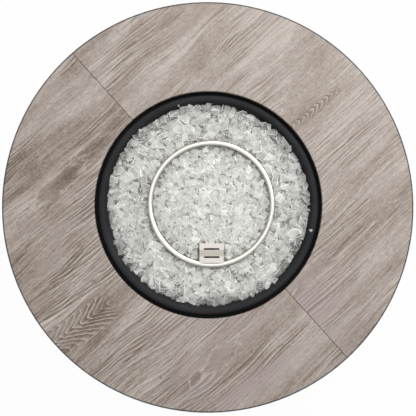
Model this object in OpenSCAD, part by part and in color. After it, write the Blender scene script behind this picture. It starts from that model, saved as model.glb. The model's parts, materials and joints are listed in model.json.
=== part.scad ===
// Round gas fire pit table. Two wood-look half panels lie in a steel frame round a black fire bowl,
// where a ring burner stands in crushed fire glass. A drum base hides the gas bottle.
// Millimetres. The origin is on the floor under the table's centre, +Z is up, the controls face -Y.

/* [Tabletop] */
// Outside diameter of the tabletop
table_d = 914; // [840:1:1000]
// Height of the tabletop surface above the floor
table_h = 625; // [600:1:700]
// Thickness of the two wood-look panels
panel_t = 12; // [9:0.5:18]
// Diameter of the opening round the fire bowl
opening_d = 507; // [470:1:514]
// Width of the seam between the two panels
seam_gap = 1.2; // [0.4:0.1:3]
// Direction of the seam, turned from +X
seam_angle = -48; // [-90:1:90]
// Broken edge round each panel's top face
edge_ease = 0.8; // [0.3:0.1:2]
// Sheet thickness of the tabletop frame
frame_sheet = 2; // [1.2:0.1:3]
// Height of the edge band round the tabletop
apron_h = 40; // [28:1:44]
// Width of the edge band's shelf, which the frame lies on
shelf_in = 8; // [5:0.5:14]
// Height of the frame's inner lip, which centres the panels
lip_h = 4; // [2:0.5:8]
// Width of each channel rib under the tabletop
rib_w = 30; // [16:1:50]
// Depth of each channel rib under the tabletop
rib_h = 16; // [10:1:24]

/* [Fire bowl] */
// Sheet thickness of the bowl
bowl_t = 1.5; // [1:0.1:2.5]
// Dark gap between the frame's inner lip and the bowl's rim
rim_gap = 5.5; // [2:0.5:8]
// Radius of the rolled rim
bead_r = 8; // [5:0.5:11]
// Depth from the rim's crest to the bowl's floor
bowl_depth = 82; // [70:1:95]
// Slope of the bowl's wall, from level
wall_slope = 65; // [55:1:80]
// Rounding between the wall and the floor
corner_r = 12; // [6:1:20]
// Gap between the bowl's floor and the heat shield
shield_gap = 32; // [24:1:40]

/* [Burner] */
// Centreline diameter of the ring burner
ring_d = 274; // [250:1:290]
// Outside diameter of the burner tube
tube_d = 12.7; // [12:0.1:16]
// Wall of the burner tube
tube_wall = 1; // [0.8:0.1:1.5]
// How far the ring's centreline lies below the rim's crest
ring_drop = 13; // [9:0.5:18]
// How far the burner stands to the right of the bowl's axis
burner_x = 7; // [-10:0.5:10]
// How far the burner stands behind the bowl's axis
burner_y = 2; // [-8:0.5:8]
// Number of gas ports in the ring
port_count = 40; // [24:1:60]
// Diameter of each gas port
port_d = 1.8; // [1.2:0.1:2.4]

/* [Pilot cover] */
// Width of the pilot cover
hood_w = 54; // [46:1:58]
// Length of the pilot cover, front to back
hood_l = 44; // [38:1:52]
// Sheet thickness of the pilot cover
hood_t = 1.2; // [0.8:0.1:2]
// Length of each flame slot
slot_l = 35; // [20:1:40]
// Width of each flame slot
slot_w = 3.8; // [2:0.1:5]
// Distance between the two flame slots
slot_pitch = 18; // [10:1:22]

/* [Fire glass] */
// Size of one glass chunk inside the burner ring
chunk_in = 14; // [12:0.5:18]
// Size of one glass chunk between the ring and the bowl's wall
chunk_out = 23; // [16:0.5:28]
// How far chunks stand above and below the bed's level
relief = 4; // [1:0.5:5]
// How far the bed's level lies below the burner ring's centreline
bed_drop = 3; // [0:0.5:6]

/* [Base] */
// How far the drum's outer face stands outside the opening's edge
drum_over = 36.5; // [30:0.5:60]
// Sheet thickness of the drum
sheet_t = 1.5; // [1:0.1:2.5]
// Height of the feet
foot_h = 14; // [8:1:25]
// Height of the fixed band at the top of the drum
skirt_h = 32; // [26:1:40]
// Width of each post, along the drum's wall
post_w = 28; // [24:1:36]
// Depth of each post, towards the drum's centre
post_d = 20; // [14:1:26]
// Gap between the fixed panels
panel_gap = 2; // [1:0.5:4]
// Gap between the door and the pieces beside it
door_gap = 3; // [2:0.5:5]
// Number of vent slots in a row
vent_count = 9; // [3:1:11]
// Inside diameter of the ring that holds the gas bottle's foot
bottle_d = 212; // [200:1:230]

/* [Hinges] */
// Radius of a hinge knuckle
knuckle_r = 5; // [4:0.5:6]
// Length of a hinge
hinge_l = 60; // [45:1:80]

/* [Controls] */
// Depth of the control knob's centre below the tabletop surface
control_drop = 200; // [190:1:230]
// Width of the control bezel
bezel_w = 190; // [176:1:210]
// Height of the control bezel
bezel_h = 80; // [66:1:100]
// Diameter of the control knob
knob_d = 46; // [42:1:54]
// Travel of the control knob when it is pushed in
knob_push = 4; // [2:0.5:4.5]
// Travel of the igniter button
button_push = 4; // [2:0.5:5]

/* [Hidden] */
$fn = 96;

black = "#2b2b2c";
steel = "#c8c7c3";
dark_steel = "#5a5b5d";
wood = "#a99e95";
brass = "#b9994f";
zinc = "#a7aaac";

// Clearances: between pieces that lie on each other, round a turning shaft, and between moving skins
seat_gap = 0.2;
run_gap = 0.06;
free_gap = 0.3;

table_r = table_d / 2;
opening_r = opening_d / 2;
drum_r = opening_r + drum_over;
flange_t = 2;
web_z = table_h - panel_t - frame_sheet;
ledge_z = web_z + frame_sheet;
flange_z = web_z - flange_t;
skirt_z = flange_z - skirt_h;
lip_r = opening_r - 0.5;
flange_r = opening_r + 6;
screw_r = 2;
top_screw_r = (flange_r + drum_r - sheet_t) / 2;
top_screw_angles = [for (i = [0:7]) 22.5 + 45 * i];

// Bowl section: bead centre, wall tangents and the corner's centre
rim_r = lip_r - frame_sheet - rim_gap;
crest_z = ledge_z + seat_gap + bead_r + 0.8;
bead_c = [rim_r - bead_r, crest_z - bead_r];
floor_z = crest_z - bowl_depth;
wall_dir = [-cos(wall_slope), -sin(wall_slope)];
wall_in = [-sin(wall_slope), cos(wall_slope)];
wall_top = bead_c + bead_r * wall_in;
wall_len = (wall_top[1] + corner_r * (cos(wall_slope) - 1) - floor_z) / sin(wall_slope);
wall_end = wall_top + wall_len * wall_dir;
corner_c = wall_end + corner_r * wall_in;
ledge_r = bead_c[0] - 1;
function wall_r_at(z) = wall_top[0] - (wall_top[1] - z) / tan(wall_slope);
floor_under = floor_z - bowl_t;

// Burner, pilot and gas train
ring_r = ring_d / 2;
tube_r = tube_d / 2;
ring_z = crest_z - ring_drop;
riser_r = 5.2;
riser_angle = -72;
riser_x = burner_x + ring_r * cos(riser_angle);
riser_y = burner_y + ring_r * sin(riser_angle);
riser_end = floor_under - 26;
leg_angles = [90, 195, 325];
leg_bolt = 15;
mixer_r = 11;
mixer_z = riser_end - 30;
jet_end = mixer_z - 22;
pipe_r = 4.75;
bend_r = 20;
shield_z = floor_under - shield_gap;
shield_t = 1.2;
shield_r = corner_c[0];
standoff_angles = [10, 130, 250];
standoff_r = shield_r - 40;

hood_back = ring_r + 2.6 - tube_r - hood_l;
hood_mid = hood_back + hood_l / 2;
hood_top = ring_z + tube_r + 1.5 + hood_t;
hood_wall_l = sqrt(pow(ring_r - tube_r - 0.6, 2) - pow(hood_w / 2, 2)) - hood_back;
hood_wall_h = 38;
shelf_z = hood_top - 32;
shelf_l = hood_wall_l - 3;
shelf_w = hood_w - 2 * hood_t;
electrode_x = -11;
probe_x = 11;
pilot_y = hood_back + 17;
head_h = 1.8;
bracket_bolt = hood_back + hood_t + 12;
wire_y = bracket_bolt + 15;

bed_z = ring_z - bed_drop;
bed_floor = floor_z + free_gap;

// Drum: posts stand at the four corners between the panels
shell_r = drum_r - sheet_t;
post_r = shell_r - seat_gap;
pan_t = 2;
pan_rim_h = 26;
pan_z = foot_h + pan_t;
panel_top = skirt_z - 0.5;
door_z0 = foot_h + 4;
door_z1 = min(panel_top - 3, table_h - apron_h - 6);
foot_r = post_r - post_d - 24;
post_angles = [45, 135, 225, 315];
function arc_deg(len, r) = len / r * 180 / PI;
half_gap = arc_deg(panel_gap / 2, drum_r);
half_door_gap = arc_deg(door_gap / 2, drum_r);
drum_screw_off = arc_deg(post_w / 2 - 5, drum_r);
drum_screw_z = [foot_h + 46, skirt_z - 36];
drum_screw_sides = [[225, -1], [225, 1], [315, -1], [315, 1], [45, -1], [135, 1]];

hinge_angle = 45;
hinge_off = knuckle_r + 1;
hinge_r = drum_r + hinge_off;
pin_r = knuckle_r / 2;
leaf_t = 2;
leaf_w = 28;
hinge_z = [door_z0 + 80, door_z1 - 80 - hinge_l];
door_inset = arc_deg(post_w / 2 + 4, drum_r);
pull_angle = 126;
pull_z = (door_z0 + door_z1) / 2;

control_z = table_h - control_drop;
bezel_proj = 10;
bezel_wall = 3;
face_y = -(drum_r + bezel_proj);
knob_x = riser_x;
igniter_x = -45;
stem_r = 4;
knob_gap = knob_push + 1;
knob_back = face_y - knob_gap;
collar_y = face_y + bezel_wall + 3;
collar_t = 3;
bonnet_y = collar_y + collar_t + knob_push + 1.5;
valve_y = bonnet_y + 20;
valve_end = valve_y + 40;
outlet_end = valve_end + 12;
inlet_y = valve_y + 24;
inlet_end = control_z - 42;
flange_y = bonnet_y + 10;
valve_screw_x = 16;
bezel_screw_x = bezel_w / 2 - 12;
button_r = 8;
button_front = face_y - button_push - 5;
button_back = face_y + 5;

bottle_r = bottle_d / 2;
bottle_wall = 2;
bottle_ring_h = 25;
bolt_z = pan_z + 14;
bolt_travel = 15;

// Shared helpers
module arc_block(r0, r1, z0, z1, a0, a1) {
    rotate([0, 0, a0])
        rotate_extrude(angle = a1 - a0)
            translate([r0, z0]) square([r1 - r0, z1 - z0]);
}

module at_polar(r, a) {
    rotate([0, 0, a]) translate([r, 0, 0]) children();
}

module along_y(x, y, z) {
    translate([x, y, z]) rotate([-90, 0, 0]) children();
}

module at_burner() {
    translate([burner_x, burner_y, 0]) children();
}

module at_riser() {
    translate([riser_x, riser_y, 0]) children();
}

module rounded_rect(w, h, r) {
    square([w - 2 * r, h], center = true);
    square([w, h - 2 * r], center = true);
    for (x = [-1, 1], y = [-1, 1])
        translate([x * (w / 2 - r), y * (h / 2 - r)]) circle(r = r);
}

module hex(across, h) {
    cylinder(r = across / sqrt(3), h = h, $fn = 6);
}

// Tabletop
module tabletop_frame() {
    outer = table_r - frame_sheet - seat_gap;
    color(dark_steel)
    difference() {
        rotate_extrude()
            polygon([[ledge_r, web_z], [outer, web_z], [outer, ledge_z], [lip_r, ledge_z],
                [lip_r, ledge_z + lip_h], [lip_r - frame_sheet, ledge_z + lip_h],
                [lip_r - frame_sheet, ledge_z], [ledge_r, ledge_z]]);
        for (a = top_screw_angles)
            at_polar(top_screw_r, a) translate([0, 0, web_z - 1])
                cylinder(r = screw_r + seat_gap, h = frame_sheet + 2);
    }
}

// One rolled strip: the edge, the shelf under the frame and the folded foot
module edge_band() {
    low = table_h - apron_h;
    wall = table_r - frame_sheet;
    shelf = web_z - frame_sheet;
    color(dark_steel)
    rotate_extrude()
        polygon([[table_r, low], [table_r, table_h - 0.5], [table_r - 0.5, table_h],
            [wall + 0.5, table_h], [wall, table_h - 0.5], [wall, web_z], [wall - shelf_in, web_z],
            [wall - shelf_in, shelf], [wall, shelf], [wall, low + frame_sheet],
            [wall - 1.5 * shelf_in, low + frame_sheet], [wall - 1.5 * shelf_in, low]]);
}

module half_panel(side) {
    outer = table_r - frame_sheet - 0.5;
    far = table_r + 10;
    color(wood)
    difference() {
        intersection() {
            rotate_extrude()
                polygon([[opening_r, ledge_z], [outer, ledge_z], [outer, table_h - edge_ease],
                    [outer - edge_ease, table_h], [opening_r + edge_ease, table_h],
                    [opening_r, table_h - edge_ease]]);
            rotate([0, 0, seam_angle])
                translate([-far, side > 0 ? seam_gap / 2 : -far - seam_gap / 2, ledge_z - 1])
                    cube([2 * far, far, panel_t + 2]);
        }
        for (a = top_screw_angles)
            at_polar(top_screw_r, a) translate([0, 0, ledge_z - 1])
                cylinder(r = screw_r + seat_gap, h = panel_t - 2);
    }
}

module panel_rear() {
    half_panel(1);
}

module panel_front() {
    half_panel(-1);
}

module top_rib(a) {
    r0 = drum_r + 2;
    r1 = table_r - frame_sheet - shelf_in - 1;
    color(dark_steel)
    rotate([0, 0, a])
    difference() {
        translate([r0, -rib_w / 2, web_z - rib_h]) cube([r1 - r0, rib_w, rib_h]);
        translate([r0 - 1, -rib_w / 2 + sheet_t, web_z - rib_h + sheet_t])
            cube([r1 - r0 + 2, rib_w - 2 * sheet_t, rib_h]);
    }
}

module top_screws() {
    color(zinc)
    for (a = top_screw_angles)
        at_polar(top_screw_r, a) {
            translate([0, 0, flange_z - 2.4]) cylinder(r = 2 * screw_r, h = 2.4);
            translate([0, 0, flange_z - 1]) cylinder(r = screw_r, h = flange_t + frame_sheet + panel_t - 4);
        }
}

// Fire bowl
function arc_points(c, r, a0, a1, n) =
    [for (i = [0:n]) c + r * [cos(a0 + (a1 - a0) * i / n), sin(a0 + (a1 - a0) * i / n)]];

// One sheet: the rolled rim, the sloping wall, the rounded corner and the floor
module bowl_section() {
    lean = 90 - wall_slope;
    hem_z = ledge_z + seat_gap;
    polygon(concat(
        [[rim_r, hem_z]],
        arc_points(bead_c, bead_r, 0, 180 - lean, 20),
        arc_points(corner_c, corner_r, -lean, -90, 8),
        [[0, floor_z], [0, floor_under]],
        arc_points(corner_c, corner_r + bowl_t, -90, -lean, 8),
        arc_points(bead_c, bead_r - bowl_t, 180 - lean, 0, 20),
        [[rim_r - bowl_t, hem_z]]));
}

module burner_bolt_places() {
    at_burner()
        for (a = leg_angles)
            at_polar(ring_r, a) translate([0, leg_bolt, 0]) children();
    at_pilot() translate([0, bracket_bolt, 0]) children();
}

module fire_bowl() {
    color(black)
    difference() {
        rotate_extrude() bowl_section();
        burner_bolt_places()
            translate([0, 0, floor_under - 1]) cylinder(r = 2.7, h = bowl_t + 2);
        at_riser() translate([0, 0, floor_under - 1]) cylinder(r = riser_r + 0.5, h = bowl_t + 2);
        at_pilot() translate([0, wire_y, floor_under - 1]) cylinder(r = 8, h = bowl_t + 2);
        for (a = [0:60:300])
            at_polar(60, a + 30) translate([0, 0, floor_under - 1]) cylinder(r = 3, h = bowl_t + 2);
    }
}

module heat_shield() {
    color(zinc)
    difference() {
        rotate_extrude() {
            translate([0, shield_z - shield_t]) square([shield_r, shield_t]);
            translate([shield_r - shield_t, shield_z - shield_t]) square([shield_t, 10]);
        }
        at_riser() translate([0, 0, shield_z - shield_t - 1]) cylinder(r = mixer_r + 4, h = shield_t + 2);
        at_pilot() translate([0, wire_y, shield_z - shield_t - 1]) cylinder(r = 8, h = shield_t + 2);
        for (a = standoff_angles)
            at_polar(standoff_r, a) translate([0, 0, shield_z - shield_t - 1])
                cylinder(r = 2.7, h = shield_t + 2);
    }
}

module shield_standoffs() {
    color(zinc)
    for (a = standoff_angles)
        at_polar(standoff_r, a) {
            translate([0, 0, shield_z]) cylinder(r = 5, h = shield_gap);
            translate([0, 0, shield_z - shield_t - 5]) cylinder(r = 2.5, h = shield_t + 6);
            translate([0, 0, shield_z - shield_t - 4]) hex(8, 4);
        }
}

// Burner
module burner_leg() {
    translate([-1, -7, floor_z]) cube([2, 14, ring_z - tube_r + 0.6 - floor_z]);
    difference() {
        translate([-5.5, -7, floor_z]) cube([11, leg_bolt + 14, 2]);
        translate([0, leg_bolt, floor_z - 1]) cylinder(r = 2.7, h = 4);
    }
}

module burner_ring() {
    color(steel)
    at_burner()
    difference() {
        union() {
            translate([0, 0, ring_z]) rotate_extrude() translate([ring_r, 0]) circle(r = tube_r);
            at_polar(ring_r, riser_angle) translate([0, 0, riser_end])
                cylinder(r = riser_r, h = ring_z - riser_end);
            for (a = leg_angles)
                at_polar(ring_r, a) burner_leg();
        }
        translate([0, 0, ring_z]) rotate_extrude() translate([ring_r, 0]) circle(r = tube_r - tube_wall);
        at_polar(ring_r, riser_angle) translate([0, 0, riser_end - 1])
            cylinder(r = riser_r - 1.2, h = ring_z - riser_end + 1);
        for (i = [0:port_count - 1])
            rotate([0, 0, (i + 0.5) * 360 / port_count]) translate([ring_r - tube_r - 1, 0, ring_z])
                rotate([0, 90, 0]) cylinder(d = port_d, h = tube_wall + 2);
    }
}

module burner_bolts() {
    color(zinc)
    burner_bolt_places() {
        translate([0, 0, floor_z + 2]) cylinder(r = 4.4, h = 3);
        translate([0, 0, floor_under - 9]) cylinder(r = 2.5, h = bowl_t + 12);
        translate([0, 0, floor_under - 4]) hex(8, 4);
    }
}

module air_mixer() {
    color(brass)
    at_riser()
    difference() {
        translate([0, 0, mixer_z]) cylinder(r = mixer_r, h = riser_end - mixer_z + 16);
        translate([0, 0, riser_end]) cylinder(r = riser_r, h = 17);
        translate([0, 0, mixer_z + 10]) cylinder(r = riser_r - 1.2, h = riser_end - mixer_z);
        translate([0, 0, mixer_z - 1]) cylinder(r = 5, h = 12);
        for (a = [0, 90])
            rotate([0, 0, a]) translate([-20, 0, mixer_z + 18]) rotate([0, 90, 0]) cylinder(r = 3, h = 40);
    }
}

module gas_jet() {
    color(brass)
    at_riser()
    difference() {
        union() {
            translate([0, 0, mixer_z - 10]) hex(17, 10);
            translate([0, 0, mixer_z - 1]) cylinder(r = 5, h = 10);
            translate([0, 0, jet_end]) cylinder(r = 6, h = 13);
        }
        translate([0, 0, jet_end - 1]) cylinder(r = 3, h = 24);
        translate([0, 0, jet_end]) cylinder(r = 0.8, h = 40);
    }
}

module pipe_section() {
    difference() {
        circle(r = pipe_r);
        circle(r = pipe_r - 1);
    }
}

module gas_tube() {
    turn_y = riser_y - bend_r;
    turn_z = control_z + bend_r;
    color(brass) {
        along_y(knob_x, outlet_end, control_z) linear_extrude(height = turn_y - outlet_end) pipe_section();
        translate([knob_x, turn_y, turn_z]) rotate([90, 0, 90])
            rotate([0, 0, 270]) rotate_extrude(angle = 90) translate([bend_r, 0]) pipe_section();
        translate([riser_x, riser_y, turn_z]) linear_extrude(height = jet_end - turn_z) pipe_section();
    }
}

// A flare nut: its wide bore takes a fitting's thread, its narrow bore takes the tube
module flare_nut() {
    difference() {
        translate([0, 0, -5]) hex(17, 13);
        translate([0, 0, -6]) cylinder(r = pipe_r, h = 15);
        cylinder(r = 6, h = 9);
    }
}

module tube_nuts() {
    color(brass) {
        translate([riser_x, riser_y, jet_end]) flare_nut();
        translate([knob_x, outlet_end, control_z]) rotate([90, 0, 0]) flare_nut();
    }
}

// Pilot: y runs from the burner's centre towards the front
module at_pilot() {
    at_burner() rotate([0, 0, 180]) children();
}

module pilot_cover() {
    color(steel)
    at_pilot()
    difference() {
        union() {
            translate([-hood_w / 2, hood_back, hood_top - hood_t]) cube([hood_w, hood_l, hood_t]);
            translate([-hood_w / 2, hood_back, hood_top - hood_wall_h])
                cube([hood_w, hood_wall_l, hood_wall_h]);
        }
        translate([-hood_w / 2 + hood_t, hood_back + hood_t, hood_top - hood_wall_h - 1])
            cube([hood_w - 2 * hood_t, hood_wall_l, hood_wall_h + 1 - hood_t]);
        for (s = [-1, 1])
            translate([0, hood_mid + s * slot_pitch / 2, hood_top - hood_t - 1])
                linear_extrude(height = hood_t + 2) {
                    square([slot_l - slot_w, slot_w], center = true);
                    for (e = [-1, 1])
                        translate([e * (slot_l - slot_w) / 2, 0]) circle(d = slot_w);
                }
        for (s = [-1, 1])
            translate([0, pilot_y - 6, shelf_z - 5]) rotate([0, s * 90, 0]) cylinder(r = 1.7, h = hood_w);
    }
}

module cover_screws() {
    color(zinc)
    at_pilot()
    for (s = [-1, 1])
        translate([0, pilot_y - 6, shelf_z - 5]) rotate([0, s * 90, 0]) {
            translate([0, 0, shelf_w / 2 - 5]) cylinder(r = 1.5, h = 5 + hood_t);
            translate([0, 0, hood_w / 2]) cylinder(r = 3, h = head_h);
        }
}

module igniter_bracket() {
    color(steel)
    at_pilot()
    difference() {
        union() {
            translate([-shelf_w / 2, hood_back + hood_t, shelf_z - 1.5]) cube([shelf_w, shelf_l, 1.5]);
            for (s = [-1, 1])
                translate([s * (shelf_w / 2 - 0.75) - 0.75, hood_back + hood_t, shelf_z - 12])
                    cube([1.5, 18, 12]);
            translate([-10, hood_back + hood_t + 5, floor_z]) cube([20, 2, shelf_z - floor_z - 1]);
            translate([-10, hood_back + hood_t + 5, floor_z]) cube([20, 13, 2]);
        }
        for (x = [electrode_x, probe_x])
            translate([x, pilot_y, shelf_z - 3]) cylinder(r = 3.5, h = 6);
        for (s = [-1, 1])
            translate([0, pilot_y - 6, shelf_z - 5]) rotate([0, s * 90, 0]) cylinder(r = 1.5, h = hood_w);
        translate([0, bracket_bolt, floor_z - 1]) cylinder(r = 2.7, h = 4);
    }
}

module electrode_insulator() {
    color("#eeeae0")
    at_pilot()
    difference() {
        translate([electrode_x, pilot_y, 0]) {
            translate([0, 0, shelf_z - 22]) cylinder(r = 3.5, h = 34);
            translate([0, 0, shelf_z]) cylinder(r = 5.5, h = 4);
        }
        translate([electrode_x, pilot_y, shelf_z - 23]) cylinder(r = 1.2, h = 36);
    }
}

module electrode_rod() {
    color(dark_steel)
    at_pilot()
    translate([electrode_x, pilot_y, 0]) {
        translate([0, 0, shelf_z - 30]) cylinder(r = 1.2, h = 52);
        translate([-1.2, 0, shelf_z + 20]) rotate([0, 90, 0]) cylinder(r = 1.19, h = 14);
    }
}

module thermocouple() {
    color(brass)
    at_pilot()
    translate([probe_x, pilot_y, 0]) {
        translate([0, 0, shelf_z - 16]) cylinder(r = 3.5, h = 20);
        translate([0, 0, shelf_z]) hex(10, 5);
        translate([0, 0, shelf_z + 4]) cylinder(r = 2.2, h = 16);
        translate([0, 0, shelf_z + 20]) sphere(r = 2.2);
    }
}

// Fire glass: beds of chunks on a triangular net of places. Every third place is the middle of a chunk,
// whose top is a facet with three corners. The six places round it are corners of the valleys.
glass_gap = 0.8;
valley_sway = 0.2;
inner_bed_r = ring_r - tube_r - glass_gap;
inner_rings = max(5, round(inner_bed_r * sqrt(3) / chunk_in));
outer_r0 = ring_r + tube_r + glass_gap;
outer_r1 = wall_r_at(bed_z - relief) - glass_gap;
outer_rows = max(4, round((outer_r1 - outer_r0) * 2 / chunk_out));
outer_turns = 3 * round(PI * (outer_r0 + outer_r1) / sqrt(3) / chunk_out);

// Steps from a place to the six places round it, turning left
near_in = [[1, 0], [0, 1], [-1, 1], [-1, 0], [0, -1], [1, -1]];
near_out = [[0, 1], [1, 1], [1, 0], [0, -1], [-1, -1], [-1, 0]];

// Height of a valley corner and the three corners of a facet, from draws between -1 and 1
function valley_z(draw) = bed_z - relief * (0.65 + 0.35 * draw);
function facet(middle, valleys, turn, draws) =
    [for (j = [0:2])
        let (p = middle + (0.65 + 0.15 * draws[1 + j]) * (valleys[(2 * j + turn) % 6] - middle))
        [p[0], p[1], bed_z + relief * (0.3 + 0.45 * draws[0] + 0.25 * draws[4 + j])]];

// Faces of one chunk: the facet, and three slopes on each of its sides down to the valleys
function chunk_faces(tips, valleys, turn) = concat(
    [[tips[2], tips[1], tips[0]]],
    [for (j = [0:2])
        let (
            a = valleys[(2 * j + turn) % 6],
            b = valleys[(2 * j + turn + 1) % 6],
            c = valleys[(2 * j + turn + 2) % 6],
            next = tips[(j + 1) % 3]
        )
        each [[b, a, tips[j]], [next, b, tips[j]], [c, b, next]]]);

// Inner bed's places, counted round hexagonal rings that are drawn as circles
function ring_of(p) = max(abs(p[0]), abs(p[1]), abs(p[0] + p[1]));
function ring_id(k, step) = k == 0 ? 0 : 1 + 3 * k * (k - 1) + step % (6 * k);
function steps_to(p, k) =
    p[0] > 0 && p[1] >= 0 ? p[1] :
    p[1] == k ? k - p[0] :
    p[0] == -k || p[0] + p[1] == -k ? 3 * k - p[1] :
    p[1] == -k ? 4 * k + p[0] : 6 * k + p[1];
function inner_id(p) = let (k = ring_of(p)) ring_id(k, steps_to(p, k));

module fire_glass_inner() {
    n = inner_rings;
    places = concat([[0, 0]],
        [for (k = [1:n], s = [0:5], m = [0:k - 1]) k * near_in[s] + m * near_in[(s + 2) % 6]]);
    count = len(places);
    draws = [for (i = [0:count - 1]) rands(-1, 1, 7, 100 + i)];
    spots = [for (i = [0:count - 1])
        let (
            k = ring_of(places[i]),
            loose = (places[i][0] - places[i][1]) % 3 != 0 && k < n ? valley_sway : 0,
            a = 60 / max(k, 1) * (steps_to(places[i], k) + loose * draws[i][0]),
            r = inner_bed_r / n * (k + loose * draws[i][1])
        )
        r * [cos(a), sin(a)]];
    chunks = [for (i = [0:count - 1])
        if ((places[i][0] - places[i][1]) % 3 == 0 && ring_of(places[i]) < n) i];
    around = [for (i = chunks) [for (step = near_in) inner_id(places[i] + step)]];
    turns = [for (i = chunks) draws[i][6] < 0 ? 0 : 1];
    facets = [for (c = [0:len(chunks) - 1])
        facet(spots[chunks[c]], [for (v = around[c]) spots[v]], turns[c], draws[chunks[c]])];
    rim = ring_id(n, 0);
    sides = 6 * n;
    points = concat(
        [for (i = [0:count - 1]) [spots[i][0], spots[i][1], valley_z(draws[i][2])]],
        [for (f = facets) each f],
        [for (q = [0:sides - 1]) [spots[rim + q][0], spots[rim + q][1], bed_floor]],
        [[0, 0, bed_floor]]);
    foot = count + 3 * len(chunks);
    faces = concat(
        [for (c = [0:len(chunks) - 1])
            each chunk_faces([for (j = [0:2]) count + 3 * c + j], around[c], turns[c])],
        [for (s = [0:5], m = [0:n - 1]) if ((n + m) % 3 != 1)
            [ring_id(n, s * n + m + 1), ring_id(n, s * n + m), ring_id(n - 1, s * (n - 1) + m)]],
        [for (s = [0:5], m = [0:n - 2]) if ((n + m) % 3 == 2)
            [ring_id(n - 1, s * (n - 1) + m), ring_id(n - 1, s * (n - 1) + m + 1),
                ring_id(n, s * n + m + 1)]],
        [for (q = [0:sides - 1]) let (w = (q + 1) % sides)
            each [[rim + q, rim + w, foot + w], [rim + q, foot + w, foot + q],
                [foot + q, foot + w, foot + sides]]]);
    beside = hood_w / 2 + head_h + free_gap;
    color("#dfe4e2")
    difference() {
        at_burner() polyhedron(points = points, faces = faces, convexity = 8);
        at_pilot() translate([-beside, hood_back - free_gap, floor_z - 1])
            cube([2 * beside, hood_l + 20, bowl_depth + 20]);
    }
}

// Outer bed's places, counted in rows from the ring outwards, each row half a place round from the last
module fire_glass_outer() {
    n = outer_turns;
    m = outer_rows;
    count = n * (m + 1);
    draws = [for (i = [0:count - 1]) rands(-1, 1, 7, 5000 + i)];
    spots = [for (i = [0:n - 1], j = [0:m])
        let (
            draw = draws[i * (m + 1) + j],
            inside = j > 0 && j < m,
            loose = inside && (i + j) % 3 != 0 ? valley_sway : 0,
            a = 360 / n * (i - j / 2 + loose * draw[0]),
            edge_z = inside ? bed_z - relief : valley_z(draw[2]),
            from = [burner_x, burner_y] + outer_r0 * [cos(a), sin(a)],
            to = (wall_r_at(edge_z) - glass_gap) * [cos(a), sin(a)]
        )
        from + (j + loose * draw[1]) / m * (to - from)];
    chunks = [for (i = [0:n - 1], j = [1:m - 1]) if ((i + j) % 3 == 0) [i, j]];
    around = [for (p = chunks)
        [for (step = near_out) (p[0] + step[0] + n) % n * (m + 1) + p[1] + step[1]]];
    middles = [for (p = chunks) p[0] * (m + 1) + p[1]];
    turns = [for (i = middles) draws[i][6] < 0 ? 0 : 1];
    facets = [for (c = [0:len(chunks) - 1])
        facet(spots[middles[c]], [for (v = around[c]) spots[v]], turns[c], draws[middles[c]])];
    foot_in = count + 3 * len(chunks);
    foot_out = foot_in + n;
    foot_r = corner_c[0] - 1;
    points = concat(
        [for (i = [0:count - 1]) [spots[i][0], spots[i][1], valley_z(draws[i][2])]],
        [for (f = facets) each f],
        [for (i = [0:n - 1]) [spots[i * (m + 1)][0], spots[i * (m + 1)][1], bed_floor]],
        [for (i = [0:n - 1]) let (a = 360 / n * (i - m / 2)) [foot_r * cos(a), foot_r * sin(a), bed_floor]]);
    faces = concat(
        [for (c = [0:len(chunks) - 1])
            each chunk_faces([for (j = [0:2]) count + 3 * c + j], around[c], turns[c])],
        [for (i = [0:n - 1], j = [0, m - 1])
            let (
                w = (i + 1) % n,
                a = i * (m + 1) + j,
                b = w * (m + 1) + j,
                first = (i + j) % 3 == 1 ? j + 1 : j,
                second = (i + j) % 3 == 0 ? j : j + 1
            )
            each concat(
                first == 0 || first == m ? [[a, b, b + 1]] : [],
                second == 0 || second == m ? [[a, b + 1, a + 1]] : [])],
        [for (i = [0:n - 1])
            let (w = (i + 1) % n, a = i * (m + 1), b = w * (m + 1))
            each [[a + m, b + m, foot_out + w], [a + m, foot_out + w, foot_out + i],
                [foot_in + i, foot_out + i, foot_out + w], [foot_in + i, foot_out + w, foot_in + w],
                [b, a, foot_in + i], [b, foot_in + i, foot_in + w]]]);
    color("#dfe4e2") polyhedron(points = points, faces = faces, convexity = 8);
}

// Drum base
module top_ring() {
    color(black)
    difference() {
        rotate_extrude() {
            translate([flange_r, flange_z]) square([drum_r - flange_r, flange_t]);
            translate([shell_r, skirt_z]) square([sheet_t, skirt_h + 0.5]);
        }
        for (a = top_screw_angles)
            at_polar(top_screw_r, a) translate([0, 0, flange_z - 1])
                cylinder(r = screw_r + seat_gap, h = flange_t + 2);
    }
}

module drum_screw_places() {
    for (p = drum_screw_sides, z = drum_screw_z)
        rotate([0, 0, p[0] + p[1] * drum_screw_off]) translate([0, 0, z]) rotate([0, 90, 0]) children();
}

module post(a) {
    half = arc_deg(post_w / 2, drum_r);
    wall = arc_deg(sheet_t, drum_r);
    color(black)
    difference() {
        arc_block(post_r - post_d, post_r, pan_z, flange_z, a - half, a + half);
        arc_block(post_r - post_d + sheet_t, post_r - sheet_t, pan_z - 1, flange_z + 1,
            a - half + wall, a + half - wall);
        drum_screw_places()
            translate([0, 0, post_r - 4]) cylinder(r = screw_r + 0.1, h = 6);
    }
}

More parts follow.
